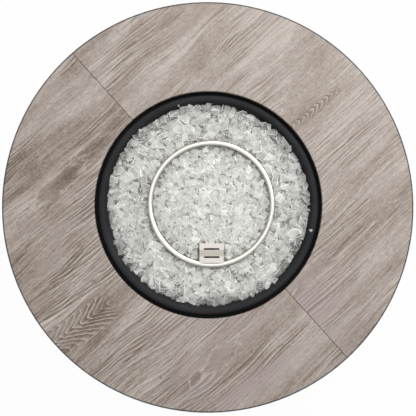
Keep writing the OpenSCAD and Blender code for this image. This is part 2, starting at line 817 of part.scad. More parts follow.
module base_pan() {
    rim_cut = arc_deg(post_w / 2 + 1, drum_r);
    rim_out = post_r - seat_gap;
    color(black)
    difference() {
        union() {
            translate([0, 0, foot_h]) cylinder(r = post_r, h = pan_t);
            for (a = post_angles)
                arc_block(rim_out - sheet_t, rim_out, foot_h + pan_t / 2, foot_h + pan_rim_h,
                    a + rim_cut, a + 90 - rim_cut);
        }
        for (a = post_angles)
            at_polar(foot_r, a) translate([0, 0, foot_h - 1]) cylinder(r = 4.2, h = pan_t + 2);
        for (a = [0:45:315])
            rotate([0, 0, a + 22.5]) translate([bottle_r + 26, -6, foot_h - 1]) cube([50, 12, pan_t + 2]);
    }
}

module foot(a) {
    color("#1c1c1c")
    at_polar(foot_r, a) {
        rotate_extrude() polygon([[0, 0], [20, 0], [22, 2], [22, foot_h - 3], [18, foot_h], [0, foot_h]]);
        translate([0, 0, foot_h - 1]) cylinder(r = 4, h = pan_t + 13);
    }
}

module foot_nuts() {
    color(zinc)
    for (a = post_angles)
        at_polar(foot_r, a) translate([0, 0, pan_z])
            difference() {
                hex(13, 7);
                translate([0, 0, -1]) cylinder(r = 4, h = 9);
            }
}

module vent_row(mid, z) {
    step = 7;
    for (i = [0:vent_count - 1])
        rotate([0, 0, mid + (i - (vent_count - 1) / 2) * step])
            translate([shell_r - 4, 0, z]) rotate([0, 90, 0])
                linear_extrude(height = 10) {
                    square([40, 7], center = true);
                    for (e = [-20, 20])
                        translate([e, 0]) circle(d = 7);
                }
}

module fixed_panel(mid) {
    difference() {
        arc_block(shell_r, drum_r, foot_h, panel_top, mid - 45 + half_gap, mid + 45 - half_gap);
        drum_screw_places()
            translate([0, 0, shell_r - 2]) cylinder(r = screw_r + seat_gap, h = sheet_t + 4);
    }
}

module side_panel(mid) {
    color(black)
    difference() {
        fixed_panel(mid);
        vent_row(mid, foot_h + 80);
        vent_row(mid, panel_top - 60);
    }
}

module front_panel() {
    color(black)
    difference() {
        fixed_panel(270);
        along_y(knob_x, face_y, control_z) cylinder(r = 14, h = 60);
        along_y(igniter_x, face_y, control_z) cylinder(r = 13, h = 60);
        for (s = [-1, 1]) {
            along_y(knob_x + s * valve_screw_x, face_y, control_z) cylinder(r = 2.4, h = 60);
            along_y(s * bezel_screw_x, face_y, control_z) cylinder(r = 2.7, h = 60);
        }
    }
}

module drum_screws() {
    color(zinc)
    drum_screw_places() {
        translate([0, 0, drum_r]) cylinder(r1 = 4.5, r2 = 3.4, h = 2.2);
        translate([0, 0, drum_r - 12]) cylinder(r = screw_r, h = 13);
    }
}

// Door
module door() {
    a0 = 45 + half_door_gap;
    a1 = 135 - half_door_gap;
    in0 = 45 + door_inset;
    in1 = 135 - door_inset;
    fold = arc_deg(sheet_t, drum_r);
    low = foot_h + pan_rim_h + 6;
    high = door_z1 - 40;
    inner = shell_r - 12;
    color(black)
    difference() {
        union() {
            arc_block(shell_r, drum_r, door_z0, door_z1, a0, a1);
            difference() {
                arc_block(inner, shell_r + sheet_t / 3, low, high, in0, in1);
                arc_block(inner - 1, drum_r, low + sheet_t, high - sheet_t, in0 + fold, in1 - fold);
            }
        }
        rotate([0, 0, pull_angle]) translate([0, 0, pull_z]) rotate([0, 90, 0])
            translate([0, 0, shell_r - 2]) cylinder(r = 2.7, h = sheet_t + 4);
    }
}

module door_pull() {
    color(zinc)
    rotate([0, 0, pull_angle]) translate([drum_r, 0, pull_z]) rotate([0, 90, 0]) {
        rotate_extrude()
            polygon([[0, 0], [8, 0], [6, 3], [6, 12], [14, 18], [15, 22], [13, 25], [0, 25]]);
        translate([0, 0, -sheet_t - 6]) cylinder(r = 2.5, h = 10);
        translate([0, 0, -sheet_t - 4.4]) hex(8, 4);
    }
}

module at_hinge() {
    at_polar(hinge_r, hinge_angle) children();
}

module hinge_leaf(side, z0) {
    third = hinge_l / 3;
    near = arc_deg(1.2, drum_r);
    far = arc_deg(leaf_w, drum_r);
    own = side < 0 ? [0, 2] : [1];
    other = side < 0 ? [1] : [0, 2];
    difference() {
        union() {
            arc_block(drum_r, drum_r + leaf_t, z0, z0 + hinge_l,
                side < 0 ? hinge_angle - far : hinge_angle + near,
                side < 0 ? hinge_angle - near : hinge_angle + far);
            for (k = own)
                at_hinge() translate([0, 0, z0 + k * third + free_gap / 2])
                    cylinder(r = knuckle_r, h = third - free_gap);
        }
        for (k = other)
            at_hinge() translate([0, 0, z0 + k * third - free_gap / 2])
                cylinder(r = knuckle_r + 0.5, h = third + free_gap);
        at_hinge() translate([0, 0, z0 - 1])
            cylinder(r = side < 0 ? pin_r : pin_r + run_gap, h = hinge_l + 2);
    }
}

module hinge_frame_leaves() {
    color(dark_steel)
    for (z = hinge_z)
        hinge_leaf(-1, z);
}

module hinge_door_leaves() {
    color(dark_steel)
    for (z = hinge_z)
        hinge_leaf(1, z);
}

module hinge_pins() {
    color(zinc)
    for (z = hinge_z)
        at_hinge() {
            translate([0, 0, z - 1]) cylinder(r = pin_r, h = hinge_l + 2);
            translate([0, 0, z + hinge_l - free_gap / 2]) cylinder(r = pin_r + 1.5, h = 2);
        }
}

module catch_bracket() {
    color(zinc)
    rotate([0, 0, 90]) {
        translate([shell_r - 20.6, -20, skirt_z - 24]) cube([2, 40, flange_z - skirt_z + 24]);
        translate([shell_r - 20.6, -20, flange_z - 2]) cube([16, 40, 2]);
    }
}

module catch_magnet() {
    half = arc_deg(18, drum_r);
    color("#3c3c3c")
    arc_block(shell_r - 18, shell_r - free_gap, skirt_z - 22, skirt_z - 6, 90 - half, 90 + half);
}

// Controls: they stand along -Y on the front panel
module control_bezel() {
    color("#38393b")
    difference() {
        union() {
            difference() {
                along_y(0, face_y, control_z) linear_extrude(height = 45) rounded_rect(bezel_w, bezel_h, 10);
                along_y(0, face_y + bezel_wall, control_z) linear_extrude(height = 60)
                    rounded_rect(bezel_w - 2 * bezel_wall, bezel_h - 2 * bezel_wall, 7);
            }
            for (s = [-1, 1])
                along_y(s * bezel_screw_x, face_y + 1, control_z) cylinder(r = 6, h = 44);
        }
        translate([0, 0, control_z - bezel_h]) cylinder(r = drum_r + seat_gap, h = 2 * bezel_h);
        along_y(knob_x, face_y - 1, control_z) cylinder(r = stem_r + 0.5, h = 20);
        along_y(igniter_x, face_y - 1, control_z) cylinder(r = 11 + seat_gap, h = 20);
        for (s = [-1, 1]) {
            along_y(s * bezel_screw_x, face_y - 1, control_z) cylinder(r = 2.6, h = 60);
            along_y(knob_x + s * valve_screw_x, face_y - 1, control_z) cylinder(r = 2.2, h = 20);
            along_y(knob_x + s * valve_screw_x, face_y, control_z) cylinder(r1 = 4.4, r2 = 2.2, h = 2.2);
        }
    }
}

module bezel_screws() {
    color(zinc)
    for (s = [-1, 1])
        along_y(s * bezel_screw_x, face_y, control_z) {
            translate([0, 0, -2.4]) cylinder(r1 = 3.6, r2 = 4.8, h = 2.4);
            translate([0, 0, -1]) cylinder(r = 2.5, h = 38);
        }
}

module valve_body() {
    color(brass)
    difference() {
        union() {
            along_y(knob_x, bonnet_y, control_z) cylinder(r = 11, h = valve_y - bonnet_y + 1);
            translate([knob_x - 24, flange_y, control_z - 11]) cube([48, 4, 22]);
            translate([knob_x - 17, valve_y, control_z - 17]) cube([34, valve_end - valve_y, 34]);
            along_y(knob_x, valve_end - 1, control_z) cylinder(r = 6, h = outlet_end - valve_end + 1);
            translate([knob_x, inlet_y, inlet_end]) cylinder(r = 7.9, h = control_z - inlet_end - 16);
        }
        along_y(knob_x, bonnet_y - 1, control_z) cylinder(r = stem_r + run_gap, h = 32);
        along_y(knob_x, outlet_end - 26, control_z) cylinder(r = 3.5, h = 27);
        translate([knob_x, inlet_y, inlet_end - 1]) cylinder(r = 4, h = control_z - inlet_end + 1);
        for (s = [-1, 1])
            along_y(knob_x + s * valve_screw_x, flange_y - 1, control_z) cylinder(r = screw_r, h = 6);
    }
}

module valve_screws() {
    color(zinc)
    for (s = [-1, 1])
        along_y(knob_x + s * valve_screw_x, face_y, control_z) {
            cylinder(r1 = 4.2, r2 = screw_r, h = 2.2);
            cylinder(r = screw_r, h = flange_y + 5 - face_y);
        }
}

module valve_collar() {
    color(zinc)
    along_y(knob_x, collar_y, control_z)
    difference() {
        cylinder(r = 9, h = collar_t);
        translate([0, 0, -1]) cylinder(r = stem_r + run_gap, h = collar_t + 2);
    }
}

module valve_stem() {
    color(zinc)
    difference() {
        along_y(knob_x, knob_back - 16, control_z)
            cylinder(r = stem_r, h = bonnet_y - knob_back + 40);
        translate([knob_x - 10, knob_back - 17, control_z - stem_r - 10])
            cube([20, 17, 11]);
    }
}

module control_knob() {
    knob_r = knob_d / 2;
    color("#1f1f20")
    difference() {
        translate([knob_x, knob_back, control_z]) rotate([90, 0, 0])
            rotate_extrude()
                polygon([[0, 0], [knob_r, 0], [knob_r, 4], [knob_r - 1.5, 6], [knob_r - 5, 7],
                    [knob_r - 6, 23], [knob_r - 7.5, 24.5], [0, 24.5]]);
        difference() {
            translate([knob_x, knob_back - 16.2, control_z]) rotate([-90, 0, 0])
                cylinder(r = stem_r, h = 18);
            translate([knob_x - 10, knob_back - 17, control_z - stem_r - 10])
                cube([20, 17, 11]);
        }
        for (i = [1:11])
            translate([knob_x, knob_back - 8, control_z]) rotate([90, 0, 0])
                rotate([0, 0, 90 + 30 * i]) translate([knob_r - 3.4, 0, 0]) cylinder(r = 3, h = 20);
        translate([knob_x - 1, knob_back - 26, control_z + 5]) cube([2, 2.5, knob_r]);
    }
}

module igniter_housing() {
    color("#2f3032")
    difference() {
        union() {
            along_y(igniter_x, face_y - 2.5, control_z) cylinder(r = 15, h = 2.5);
            along_y(igniter_x, face_y - 1, control_z) cylinder(r = 11, h = 60);
            for (s = [-1, 1])
                translate([igniter_x - 0.5 + s * 4, face_y + 58, control_z - 3]) cube([1, 9, 6]);
        }
        along_y(igniter_x, face_y - 4, control_z)
            cylinder(r = button_r + free_gap, h = 4 + button_back - face_y + button_push + 1);
    }
}

module igniter_nut() {
    color(zinc)
    along_y(igniter_x, face_y + bezel_wall, control_z)
    difference() {
        hex(28, 6);
        translate([0, 0, -1]) cylinder(r = 11, h = 8);
    }
}

module igniter_button() {
    len = button_back - button_front;
    color("#b3261f")
    translate([igniter_x, button_back, control_z]) rotate([90, 0, 0])
        rotate_extrude()
            polygon([[0, 0], [button_r, 0], [button_r, len - 1.5], [button_r - 1.5, len], [0, len - 0.6]]);
}

// Gas bottle seat
module bottle_ring() {
    color(black)
    difference() {
        union() {
            rotate_extrude() translate([bottle_r, pan_z]) square([bottle_wall, bottle_ring_h]);
            translate([-9, bottle_r + 0.5, pan_z]) cube([18, 14, bottle_ring_h]);
        }
        along_y(0, bottle_r - 10, bolt_z) cylinder(r = 4 + run_gap, h = 40);
    }
}

module bottle_bolt() {
    color(zinc) {
        along_y(0, bottle_r + 0.6, bolt_z) cylinder(r = 4, h = 62);
        translate([-26, bottle_r + 56, bolt_z]) rotate([0, 90, 0]) cylinder(r = 3.2, h = 52);
    }
}

tabletop_frame();
edge_band();
panel_rear();
panel_front();
top_rib(0);  // top_rib_right
top_rib(90);  // top_rib_rear
top_rib(180);  // top_rib_left
top_rib(270);  // top_rib_front
top_screws();
fire_bowl();
heat_shield();
shield_standoffs();
burner_ring();
burner_bolts();
air_mixer();
gas_jet();
gas_tube();
tube_nuts();
pilot_cover();
cover_screws();
igniter_bracket();
electrode_insulator();
electrode_rod();
thermocouple();
fire_glass_inner();
fire_glass_outer();
top_ring();
post(45);  // post_rear_right
post(135);  // post_rear_left
post(225);  // post_front_left
post(315);  // post_front_right
base_pan();
foot(45);  // foot_rear_right
foot(135);  // foot_rear_left
foot(225);  // foot_front_left
foot(315);  // foot_front_right
foot_nuts();
side_panel(0);  // right_panel
side_panel(180);  // left_panel
front_panel();
drum_screws();
door();
hinge_frame_leaves();
hinge_door_leaves();
hinge_pins();
door_pull();
catch_bracket();
catch_magnet();
control_bezel();
bezel_screws();
valve_body();
valve_screws();
valve_collar();
valve_stem();
control_knob();
igniter_housing();
igniter_nut();
igniter_button();
bottle_ring();
bottle_bolt();
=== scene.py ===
"""Looks of a round gas fire pit table: finishes of its pieces, crushed glass, light and camera.

Metres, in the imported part's own frame: origin on the floor under the tabletop, +Z up, controls at -Y.
"""

import json
import math
import random

import bpy
from mathutils import Euler, Matrix, Vector


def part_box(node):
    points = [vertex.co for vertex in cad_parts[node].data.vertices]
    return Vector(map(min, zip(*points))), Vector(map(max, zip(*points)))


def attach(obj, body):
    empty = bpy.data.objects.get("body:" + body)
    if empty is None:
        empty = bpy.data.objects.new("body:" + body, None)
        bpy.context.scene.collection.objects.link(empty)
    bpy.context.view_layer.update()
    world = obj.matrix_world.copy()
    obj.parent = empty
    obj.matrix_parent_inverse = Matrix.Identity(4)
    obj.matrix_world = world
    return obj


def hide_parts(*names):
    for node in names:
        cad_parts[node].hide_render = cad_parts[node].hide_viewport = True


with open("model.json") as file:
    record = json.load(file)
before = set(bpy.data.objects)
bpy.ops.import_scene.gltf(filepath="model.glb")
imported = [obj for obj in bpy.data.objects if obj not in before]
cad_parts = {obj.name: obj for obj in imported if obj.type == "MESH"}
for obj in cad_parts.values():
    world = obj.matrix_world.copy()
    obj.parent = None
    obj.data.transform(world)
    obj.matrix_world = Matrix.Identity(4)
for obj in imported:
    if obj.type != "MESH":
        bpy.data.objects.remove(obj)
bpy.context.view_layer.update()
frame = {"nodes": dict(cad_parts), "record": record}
nodes = frame["nodes"]

MM = 0.001

# Places that the glass, the finishes and the camera are set by
TABLE_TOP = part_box("panel_rear")[1].z
RING_LOW, RING_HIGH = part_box("burner_ring")
COVER_LOW, COVER_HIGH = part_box("pilot_cover")
BED_LOW, BED_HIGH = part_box("fire_glass_outer")
# Radius of the burner's tube, and how far the bed's level lies below its centreline
TUBE_R = 6.35 * MM
BED_DROP = 3 * MM
RING_X = (RING_LOW.x + RING_HIGH.x) / 2
RING_Y = (RING_LOW.y + RING_HIGH.y) / 2
RING_R = (RING_HIGH.x - RING_LOW.x) / 2 - TUBE_R
RING_Z = RING_HIGH.z - TUBE_R
# The glass bed's radius at its widest, and its level
BED_R = (BED_HIGH.x - BED_LOW.x) / 2
BED_Z = RING_Z - BED_DROP
# Height of the bed's widest edge
WIDEST_Z = max(nodes["fire_glass_outer"].data.vertices, key=lambda point: point.co.xy.length).co.z

# The way up, which faces and normals are measured against
UP = (0, 0, 1)


# Shader building

def shade(red, green, blue):
    """A colour as it is seen, 0 to 255, in the linear values that a shader takes."""
    def linear(part):
        part /= 255
        return part / 12.92 if part <= 0.04045 else ((part + 0.055) / 1.055) ** 2.4
    return (linear(red), linear(green), linear(blue), 1)


def feed(tree, socket, value):
    """Sets a socket, or links another node's output to it."""
    if isinstance(value, bpy.types.NodeSocket):
        tree.links.new(value, socket)
    else:
        socket.default_value = value


def add(tree, kind, inputs=(), **options):
    """Adds one shader node. inputs pairs a socket's name or number with its value."""
    made = tree.nodes.new("ShaderNode" + kind)
    for name, value in options.items():
        setattr(made, name, value)
    for socket, value in dict(inputs).items():
        feed(tree, made.inputs[socket], value)
    return made


def calc(tree, operation, *values):
    """The result of one Math node."""
    return add(tree, "Math", enumerate(values), operation=operation).outputs[0]


def vector_calc(tree, operation, *values):
    """The vector that one Vector Math node gives."""
    return add(tree, "VectorMath", enumerate(values), operation=operation).outputs["Vector"]


def dot(tree, first, second):
    """How far one vector reaches along another."""
    return add(tree, "VectorMath", {0: first, 1: second}, operation="DOT_PRODUCT").outputs["Value"]


def times(tree, *values):
    """The product of two or more values."""
    product = values[0]
    for value in values[1:]:
        product = calc(tree, "MULTIPLY", product, value)
    return product


def length_of(tree, vector):
    """A vector's length."""
    return calc(tree, "SQRT", dot(tree, vector, vector))


def part_of(tree, vector, axis):
    """One of a vector's three parts: X, Y or Z."""
    return add(tree, "SeparateXYZ", {0: vector}).outputs[axis]


def facing_up(tree):
    """How far a surface looks up: 1 where it is level, 0 on a wall."""
    return dot(tree, tree.nodes.new("ShaderNodeNewGeometry").outputs["Normal"], UP)


def cloud(tree, vector, scale, detail=2.0, roughness=0.5, distortion=0.0):
    """Soft noise from 0 to 1, about 0.5 on average."""
    inputs = {"Vector": vector, "Scale": scale, "Detail": detail, "Roughness": roughness,
              "Distortion": distortion}
    return add(tree, "TexNoise", inputs).outputs[0]


def stretch(tree, vector, scale, shift=(0, 0, 0)):
    """Coordinates that are scaled and moved."""
    return add(tree, "Mapping", {"Vector": vector, "Location": shift, "Scale": scale}).outputs[0]


def span(tree, value, low, high, out_low=0.0, out_high=1.0):
    """Maps one span of values to another and holds it at the ends."""
    return add(tree, "MapRange", enumerate((value, low, high, out_low, out_high))).outputs[0]


def mix(tree, share, first, second):
    """Two colours mixed."""
    made = add(tree, "Mix", {0: share}, data_type="RGBA")
    feed(tree, made.inputs[6], first)
    feed(tree, made.inputs[7], second)
    return made.outputs[2]


def ramp(tree, value, stops):
    """Colours set along a value: stops are (place, colour) pairs."""
    made = add(tree, "ValToRGB", {0: value})
    elements = made.color_ramp.elements
    while len(elements) < len(stops):
        elements.new(0.5)
    for element, (place, colour) in zip(elements, stops):
        element.position = place
        element.color = colour
    return made.outputs[0]


def grey(value):
    """A grey of a linear value."""
    return (value, value, value, 1)


def toned(colour, share, lift=0.0):
    """A colour times a share, with a lift added to each part."""
    return tuple(min(1, part * share + lift) for part in colour[:3]) + (1,)


def bump(tree, height, strength, distance):
    """A normal that is tilted by a height."""
    return add(tree, "Bump", {"Height": height, "Strength": strength, "Distance": distance}).outputs[0]


def new_finish(name):
    """A material, its node tree, its shader and the piece's own coordinates."""
    material = bpy.data.materials.new(name)
    material.use_nodes = True
    tree = material.node_tree
    shader = tree.nodes["Principled BSDF"]
    return material, tree, shader, add(tree, "TexCoord").outputs["Object"]


def new_group(name, inputs, outputs):
    """An empty shader node group: inputs and outputs pair a socket's name with its kind and start value."""
    tree = bpy.data.node_groups.new(name, "ShaderNodeTree")
    for label, (kind, start) in inputs.items():
        socket = tree.interface.new_socket(label, in_out="INPUT", socket_type="NodeSocket" + kind)
        if start is not None:
            socket.default_value = start
    for label, kind in outputs.items():
        tree.interface.new_socket(label, in_out="OUTPUT", socket_type="NodeSocket" + kind)
    return tree, tree.nodes.new("NodeGroupInput").outputs, tree.nodes.new("NodeGroupOutput").inputs


def use(tree, group, **inputs):
    """Places a group in a material and gives its outputs."""
    made = tree.nodes.new("ShaderNodeGroup")
    made.node_tree = group
    for label, value in inputs.items():
        feed(tree, made.inputs[label], value)
    return made.outputs


# Effects that several finishes share

def edge_wear_group():
    """Rubbed edges: where the normal turns within a reach, broken up by noise."""
    tree, given, out = new_group("edge_wear", {
        "Vector": ("Vector", None), "Reach": ("Float", 0.002), "Amount": ("Float", 0.6)}, {"Mask": "Float"})
    softened = add(tree, "Bevel", {"Radius": given["Reach"]}, samples=4).outputs[0]
    flat = tree.nodes.new("ShaderNodeNewGeometry").outputs["Normal"]
    turned = calc(tree, "SUBTRACT", 1.0, dot(tree, softened, flat))
    edge = span(tree, turned, 0.03, 0.28)
    broken = span(tree, cloud(tree, given["Vector"], 70, 5, 0.65), 0.42, 0.66)
    feed(tree, out["Mask"], times(tree, edge, broken, given["Amount"]))
    return tree


def coat_texture_group():
    """The fine pebbling of a baked coat, with a slow drift of tone."""
    tree, given, out = new_group("coat_texture", {
        "Vector": ("Vector", None), "Grain": ("Float", 900.0)}, {"Height": "Float", "Drift": "Float"})
    pebbles = add(tree, "TexVoronoi", {"Vector": given["Vector"], "Scale": given["Grain"]},
                  feature="SMOOTH_F1").outputs["Distance"]
    fine = cloud(tree, given["Vector"], 2600, 2, 0.6)
    feed(tree, out["Height"], calc(tree, "MULTIPLY_ADD", fine, 0.35, pebbles))
    feed(tree, out["Drift"], cloud(tree, given["Vector"], 9, 4, 0.55))
    return tree


def dust_group():
    """Dust that settles where a face looks up."""
    tree, given, out = new_group("settled_dust", {
        "Vector": ("Vector", None), "Amount": ("Float", 0.3)}, {"Mask": "Float"})
    level = span(tree, facing_up(tree), 0.3, 0.95)
    patchy = span(tree, cloud(tree, given["Vector"], 26, 6, 0.62), 0.38, 0.72)
    feed(tree, out["Mask"], times(tree, level, patchy, given["Amount"]))
    return tree


def brushing_group():
    """Fine parallel strokes of a brushed metal; its vector's X runs along the strokes."""
    tree, given, out = new_group("brushing", {
        "Vector": ("Vector", None)}, {"Stroke": "Float", "Smear": "Float"})
    feed(tree, out["Stroke"], cloud(tree, stretch(tree, given["Vector"], (18, 1900, 1900)), 1, 3, 0.7))
    feed(tree, out["Smear"], cloud(tree, stretch(tree, given["Vector"], (14, 40, 40)), 1, 3, 0.6))
    return tree


def figure_group():
    """One swell in the oak's growth rings, which the grain lines run round as a cathedral or an eye."""
    tree, given, out = new_group("oak_figure", {
        "Vector": ("Vector", None), "Centre": ("Vector", None), "Turn": ("Float", 0.0),
        "Length": ("Float", 0.1), "Width": ("Float", 0.03)}, {"Swell": "Float"})
    away = vector_calc(tree, "SUBTRACT", given["Vector"], given["Centre"])
    turned = add(tree, "VectorRotate", {"Vector": away, "Angle": given["Turn"]}, rotation_type="Z_AXIS")
    reach = add(tree, "CombineXYZ", {"X": given["Length"], "Y": given["Width"], "Z": 1.0}).outputs[0]
    scaled = vector_calc(tree, "DIVIDE", turned.outputs[0], reach)
    flat = vector_calc(tree, "MULTIPLY", scaled, (1, 1, 0))
    feed(tree, out["Swell"], calc(tree, "EXPONENT", times(tree, dot(tree, flat, flat), -1.0)))
    return tree


def cathedral_group():
    """Nested points in the oak's growth rings: behind a tip, the rings close over each other.

    Across and Along are rings per metre. Lean is how far the points' axis strays across the grain.
    Heart marks the points, Flank the strip beside them where the rings turn back.
    """
    tree, given, out = new_group("oak_cathedral", {
        "Vector": ("Vector", None), "Tip": ("Vector", None), "Width": ("Float", 0.055),
        "Lean": ("Float", 0.0), "Across": ("Float", 130.0), "Along": ("Float", 55.0)},
        {"Rings": "Float", "Heart": "Float", "Flank": "Float"})
    blunt = 3 * MM
    short_side = 1.5
    plateau = 6.0
    flare = 0.13
    away = vector_calc(tree, "SUBTRACT", given["Vector"], given["Tip"])
    behind = calc(tree, "MAXIMUM", times(tree, part_of(tree, away, "X"), -1.0), 0.0)
    off_axis = calc(tree, "SUBTRACT", part_of(tree, away, "Y"), times(tree, behind, given["Lean"]))
    side = calc(tree, "MAXIMUM", times(tree, off_axis, short_side), times(tree, off_axis, -1.0))
    side = calc(tree, "DIVIDE", side, given["Width"])
    fade = calc(tree, "EXPONENT", times(tree, calc(tree, "POWER", side, plateau), -1.0))
    points = times(tree, behind, given["Along"], fade)
    rounded = calc(tree, "SQRT", calc(tree, "MULTIPLY_ADD", off_axis, off_axis, blunt * blunt))
    opened = times(tree, rounded, calc(tree, "MULTIPLY_ADD", fade, -flare, 1.0))
    feed(tree, out["Rings"], calc(tree, "MULTIPLY_ADD", opened, given["Across"], points))
    feed(tree, out["Heart"], times(tree, fade, span(tree, behind, 0.0, 50 * MM)))
    begun = span(tree, behind, 20 * MM, 60 * MM, 0.0, 8.0)
    turning = times(tree, fade, calc(tree, "SUBTRACT", 1.0, fade), begun)
    feed(tree, out["Flank"], calc(tree, "MINIMUM", turning, 1.0))
    return tree


def glass_shade_group():
    """Where the glass is darker: soot and painted shade in a patchy band beside the burner tube, and painted
    shade towards the bowl's wall, where the glass lies thin over the black bowl.
    """
    tree, given, out = new_group("glass_shade", {"Vector": ("Vector", None)}, {"Mask": "Float"})
    level = vector_calc(tree, "MULTIPLY", given["Vector"], (1, 1, 0))
    from_ring = length_of(tree, vector_calc(tree, "SUBTRACT", level, (RING_X, RING_Y, 0)))
    away = calc(tree, "SUBTRACT", from_ring, RING_R)
    inside = span(tree, away, -34 * MM, -16 * MM)
    outside = span(tree, away, 16 * MM, 8 * MM)
    past_tube = span(tree, calc(tree, "ABSOLUTE", away), 8.5 * MM, 13 * MM)
    patchy = span(tree, cloud(tree, given["Vector"], 140, 3, 0.6), 0.35, 0.65, 0.15, 1.0)
    # Soot and painted shade of the burner tube, in a patchy band beside it
    soot = times(tree, inside, outside, past_tube, patchy)
    # Painted shade towards the bowl's wall, where the glass lies thin
    thin = span(tree, length_of(tree, level), BED_R - 22 * MM, BED_R - 2 * MM)
    feed(tree, out["Mask"], calc(tree, "MAXIMUM", soot, thin))
    return tree


GLASS_SHADE = glass_shade_group()
EDGE_WEAR = edge_wear_group()
COAT_TEXTURE = coat_texture_group()
SETTLED_DUST = dust_group()
BRUSHING = brushing_group()
OAK_FIGURE = figure_group()
OAK_CATHEDRAL = cathedral_group()


# Oak of the tabletop

# Direction of the grain, turned from +X
GRAIN_TURN = math.radians(43)
# How far the grain wanders across itself, and how far in the nested points
SWAY = 36 * MM
CALM_SWAY = 10 * MM
# Direction of the key light, in which the oak is painted lighter, with painted shade on the far side
PAINTED_LIGHT_SIDE = (0.45, 0.89, 0)
# Direction in which its lines grow softer
SOFT_SIDE = (0.72, 0.69, 0)
# The calm mauve stretch at the front: the way to it, and the way across it
MAUVE_WAY = (0.375, -0.927, 0)
MAUVE_ACROSS = (0.927, 0.375, 0)
# Layers of tone: noise per metre along and across the grain, its detail and roughness
OAK_LAYERS = {
    "broad": (3, 17, 3, 0.55),
    "streak": (5, 110, 3, 0.6),
    "thread": (9, 330, 3, 0.6),
    "fibre": (60, 900, 3, 0.65),
    "mottle": (150, 240, 3, 0.6),
    "blotch": (24, 45, 3, 0.6),
}
# Strength of the lines on plain wood, outside their bundles
PLAIN_WOOD = 0.04
OAK_TONES = [
    (0.0, shade(112, 99, 88)), (0.3, shade(148, 135, 124)), (0.55, shade(169, 157, 148)),
    (0.8, shade(184, 173, 164)), (1.0, shade(200, 191, 182))]
MAUVE = shade(178, 164, 162)
LATE_WOOD = shade(104, 90, 78)
LIMED_LINE = shade(219, 209, 198)
PORE = shade(108, 96, 86)

# Nested points of each panel: where they begin along and across the grain, their width, their rings per
# metre and their lean
FRONT_POINTS = ((-0.266, -0.015, 0), 0.055, 56, 0.134)
REAR_POINTS = ((0.437, -0.008, 0), 0.017, -70, 0.05)

# Eyes, swirls and patches of each panel: x, y, turn in degrees, length, width, rise in rings, depth of tone
FRONT_FIGURES = [
    (-0.029, -0.382, 50, 0.020, 0.010, 1.3, 0.42),
    (-0.060, -0.398, 40, 0.050, 0.012, 2.0, 0.02),
    (-0.330, 0.048, 40, 0.075, 0.018, 0.3, 0.34),
    (-0.256, 0.122, 36, 0.055, 0.018, 0.4, 0.22),
    (-0.215, 0.176, 36, 0.035, 0.010, 0.3, 0.12),
    (-0.402, 0.075, 40, 0.040, 0.012, 0.3, 0.12),
    (0.027, -0.334, 45, 0.050, 0.020, 2.5, 0.30),
    (0.166, -0.373, 40, 0.030, 0.008, 1.6, 0.05),
]
REAR_FIGURES = [
    (-0.015, 0.327, 50, 0.080, 0.036, 4.0, 0.06),
    (-0.020, 0.318, 48, 0.050, 0.028, 0.3, 0.11),
    (0.225, -0.155, 40, 0.060, 0.016, 2.6, 0.16),
    (0.387, -0.020, 35, 0.040, 0.010, 1.8, 0.16),
    (-0.084, 0.287, 60, 0.050, 0.020, 2.0, 0.04),
]
# A figure at least this deep is a smooth dark patch with a pale outline
PATCH_DEPTH = 0.1


def grain_noise(tree, grain, shift, along, across, detail=2, roughness=0.5):
    """Noise that is drawn out along the grain, from 0 to 1."""
    return cloud(tree, stretch(tree, grain, (along, across, 1), shift), 1, detail, roughness)


def grain_wave(tree, grain, shift, along, across, detail=2, roughness=0.5):
    """Noise that is drawn out along the grain, from -0.5 to 0.5."""
    return calc(tree, "SUBTRACT", grain_noise(tree, grain, shift, along, across, detail, roughness), 0.5)


def oak_grain(tree, place, shift, tip):
    """Coordinates whose X runs along the grain, which wanders, but less in the nested points."""
    turned = add(tree, "VectorRotate", {"Vector": place, "Angle": -GRAIN_TURN}, rotation_type="Z_AXIS")
    grain = turned.outputs[0]
    calm = use(tree, OAK_FIGURE, Vector=grain, Centre=(tip[0] - 0.11, tip[1], 0), Length=0.14, Width=0.08)
    sway = span(tree, calm["Swell"], 0.0, 1.0, SWAY, CALM_SWAY)
    wander = times(tree, grain_wave(tree, grain, shift, 5, 8, 1), sway)
    return vector_calc(tree, "ADD", grain, add(tree, "CombineXYZ", {"Y": wander}).outputs[0])


def oak_figures(tree, place, ragged, figures):
    """What a panel's figures do: the rise of the rings, depth of tone, dark patches and their outlines.

    ragged is noise that breaks up the edges of the patches.
    """
    rise, depth, patch, outline = 0.0, 0.0, 0.0, 0.0
    for x, y, turn, length, width, rings, dark in figures:
        swell = use(tree, OAK_FIGURE, Vector=place, Centre=(x, y, 0), Turn=-math.radians(turn),
                    Length=length, Width=width)["Swell"]
        rise = calc(tree, "MULTIPLY_ADD", swell, rings, rise)
        depth = calc(tree, "MULTIPLY_ADD", swell, 0.7 * dark, depth)
        if dark >= PATCH_DEPTH:
            border = calc(tree, "ADD", swell, ragged)
            smooth = span(tree, border, 0.36, 0.62)
            depth = calc(tree, "MULTIPLY_ADD", smooth, 0.4 * dark, depth)
            patch = calc(tree, "MAXIMUM", patch, smooth)
            contour = times(tree, span(tree, border, 0.26, 0.36), span(tree, border, 0.46, 0.36))
            outline = calc(tree, "MAXIMUM", outline, times(tree, contour, 1.2 * dark))
    return rise, depth, patch, outline


def oak_lines(tree, ring):
    """A pale and a dark line along each growth ring, stronger on some rings than on others."""
    phase = calc(tree, "FRACT", ring)
    number = calc(tree, "FLOOR", ring)
    each = add(tree, "TexWhiteNoise", {"W": number}, noise_dimensions="1D").outputs["Value"]
    pale = ramp(tree, phase, [
        (0.0, grey(1)), (0.1, grey(0.3)), (0.2, grey(0)), (0.88, grey(0)), (1.0, grey(1))])
    late = ramp(tree, phase, [(0.1, grey(0)), (0.24, grey(1)), (0.5, grey(0.45)), (0.85, grey(0))])
    pale = times(tree, pale, span(tree, each, 0.2, 0.8, 0.4, 1.0))
    return pale, times(tree, late, span(tree, each, 0.0, 1.0, 0.45, 1.0))


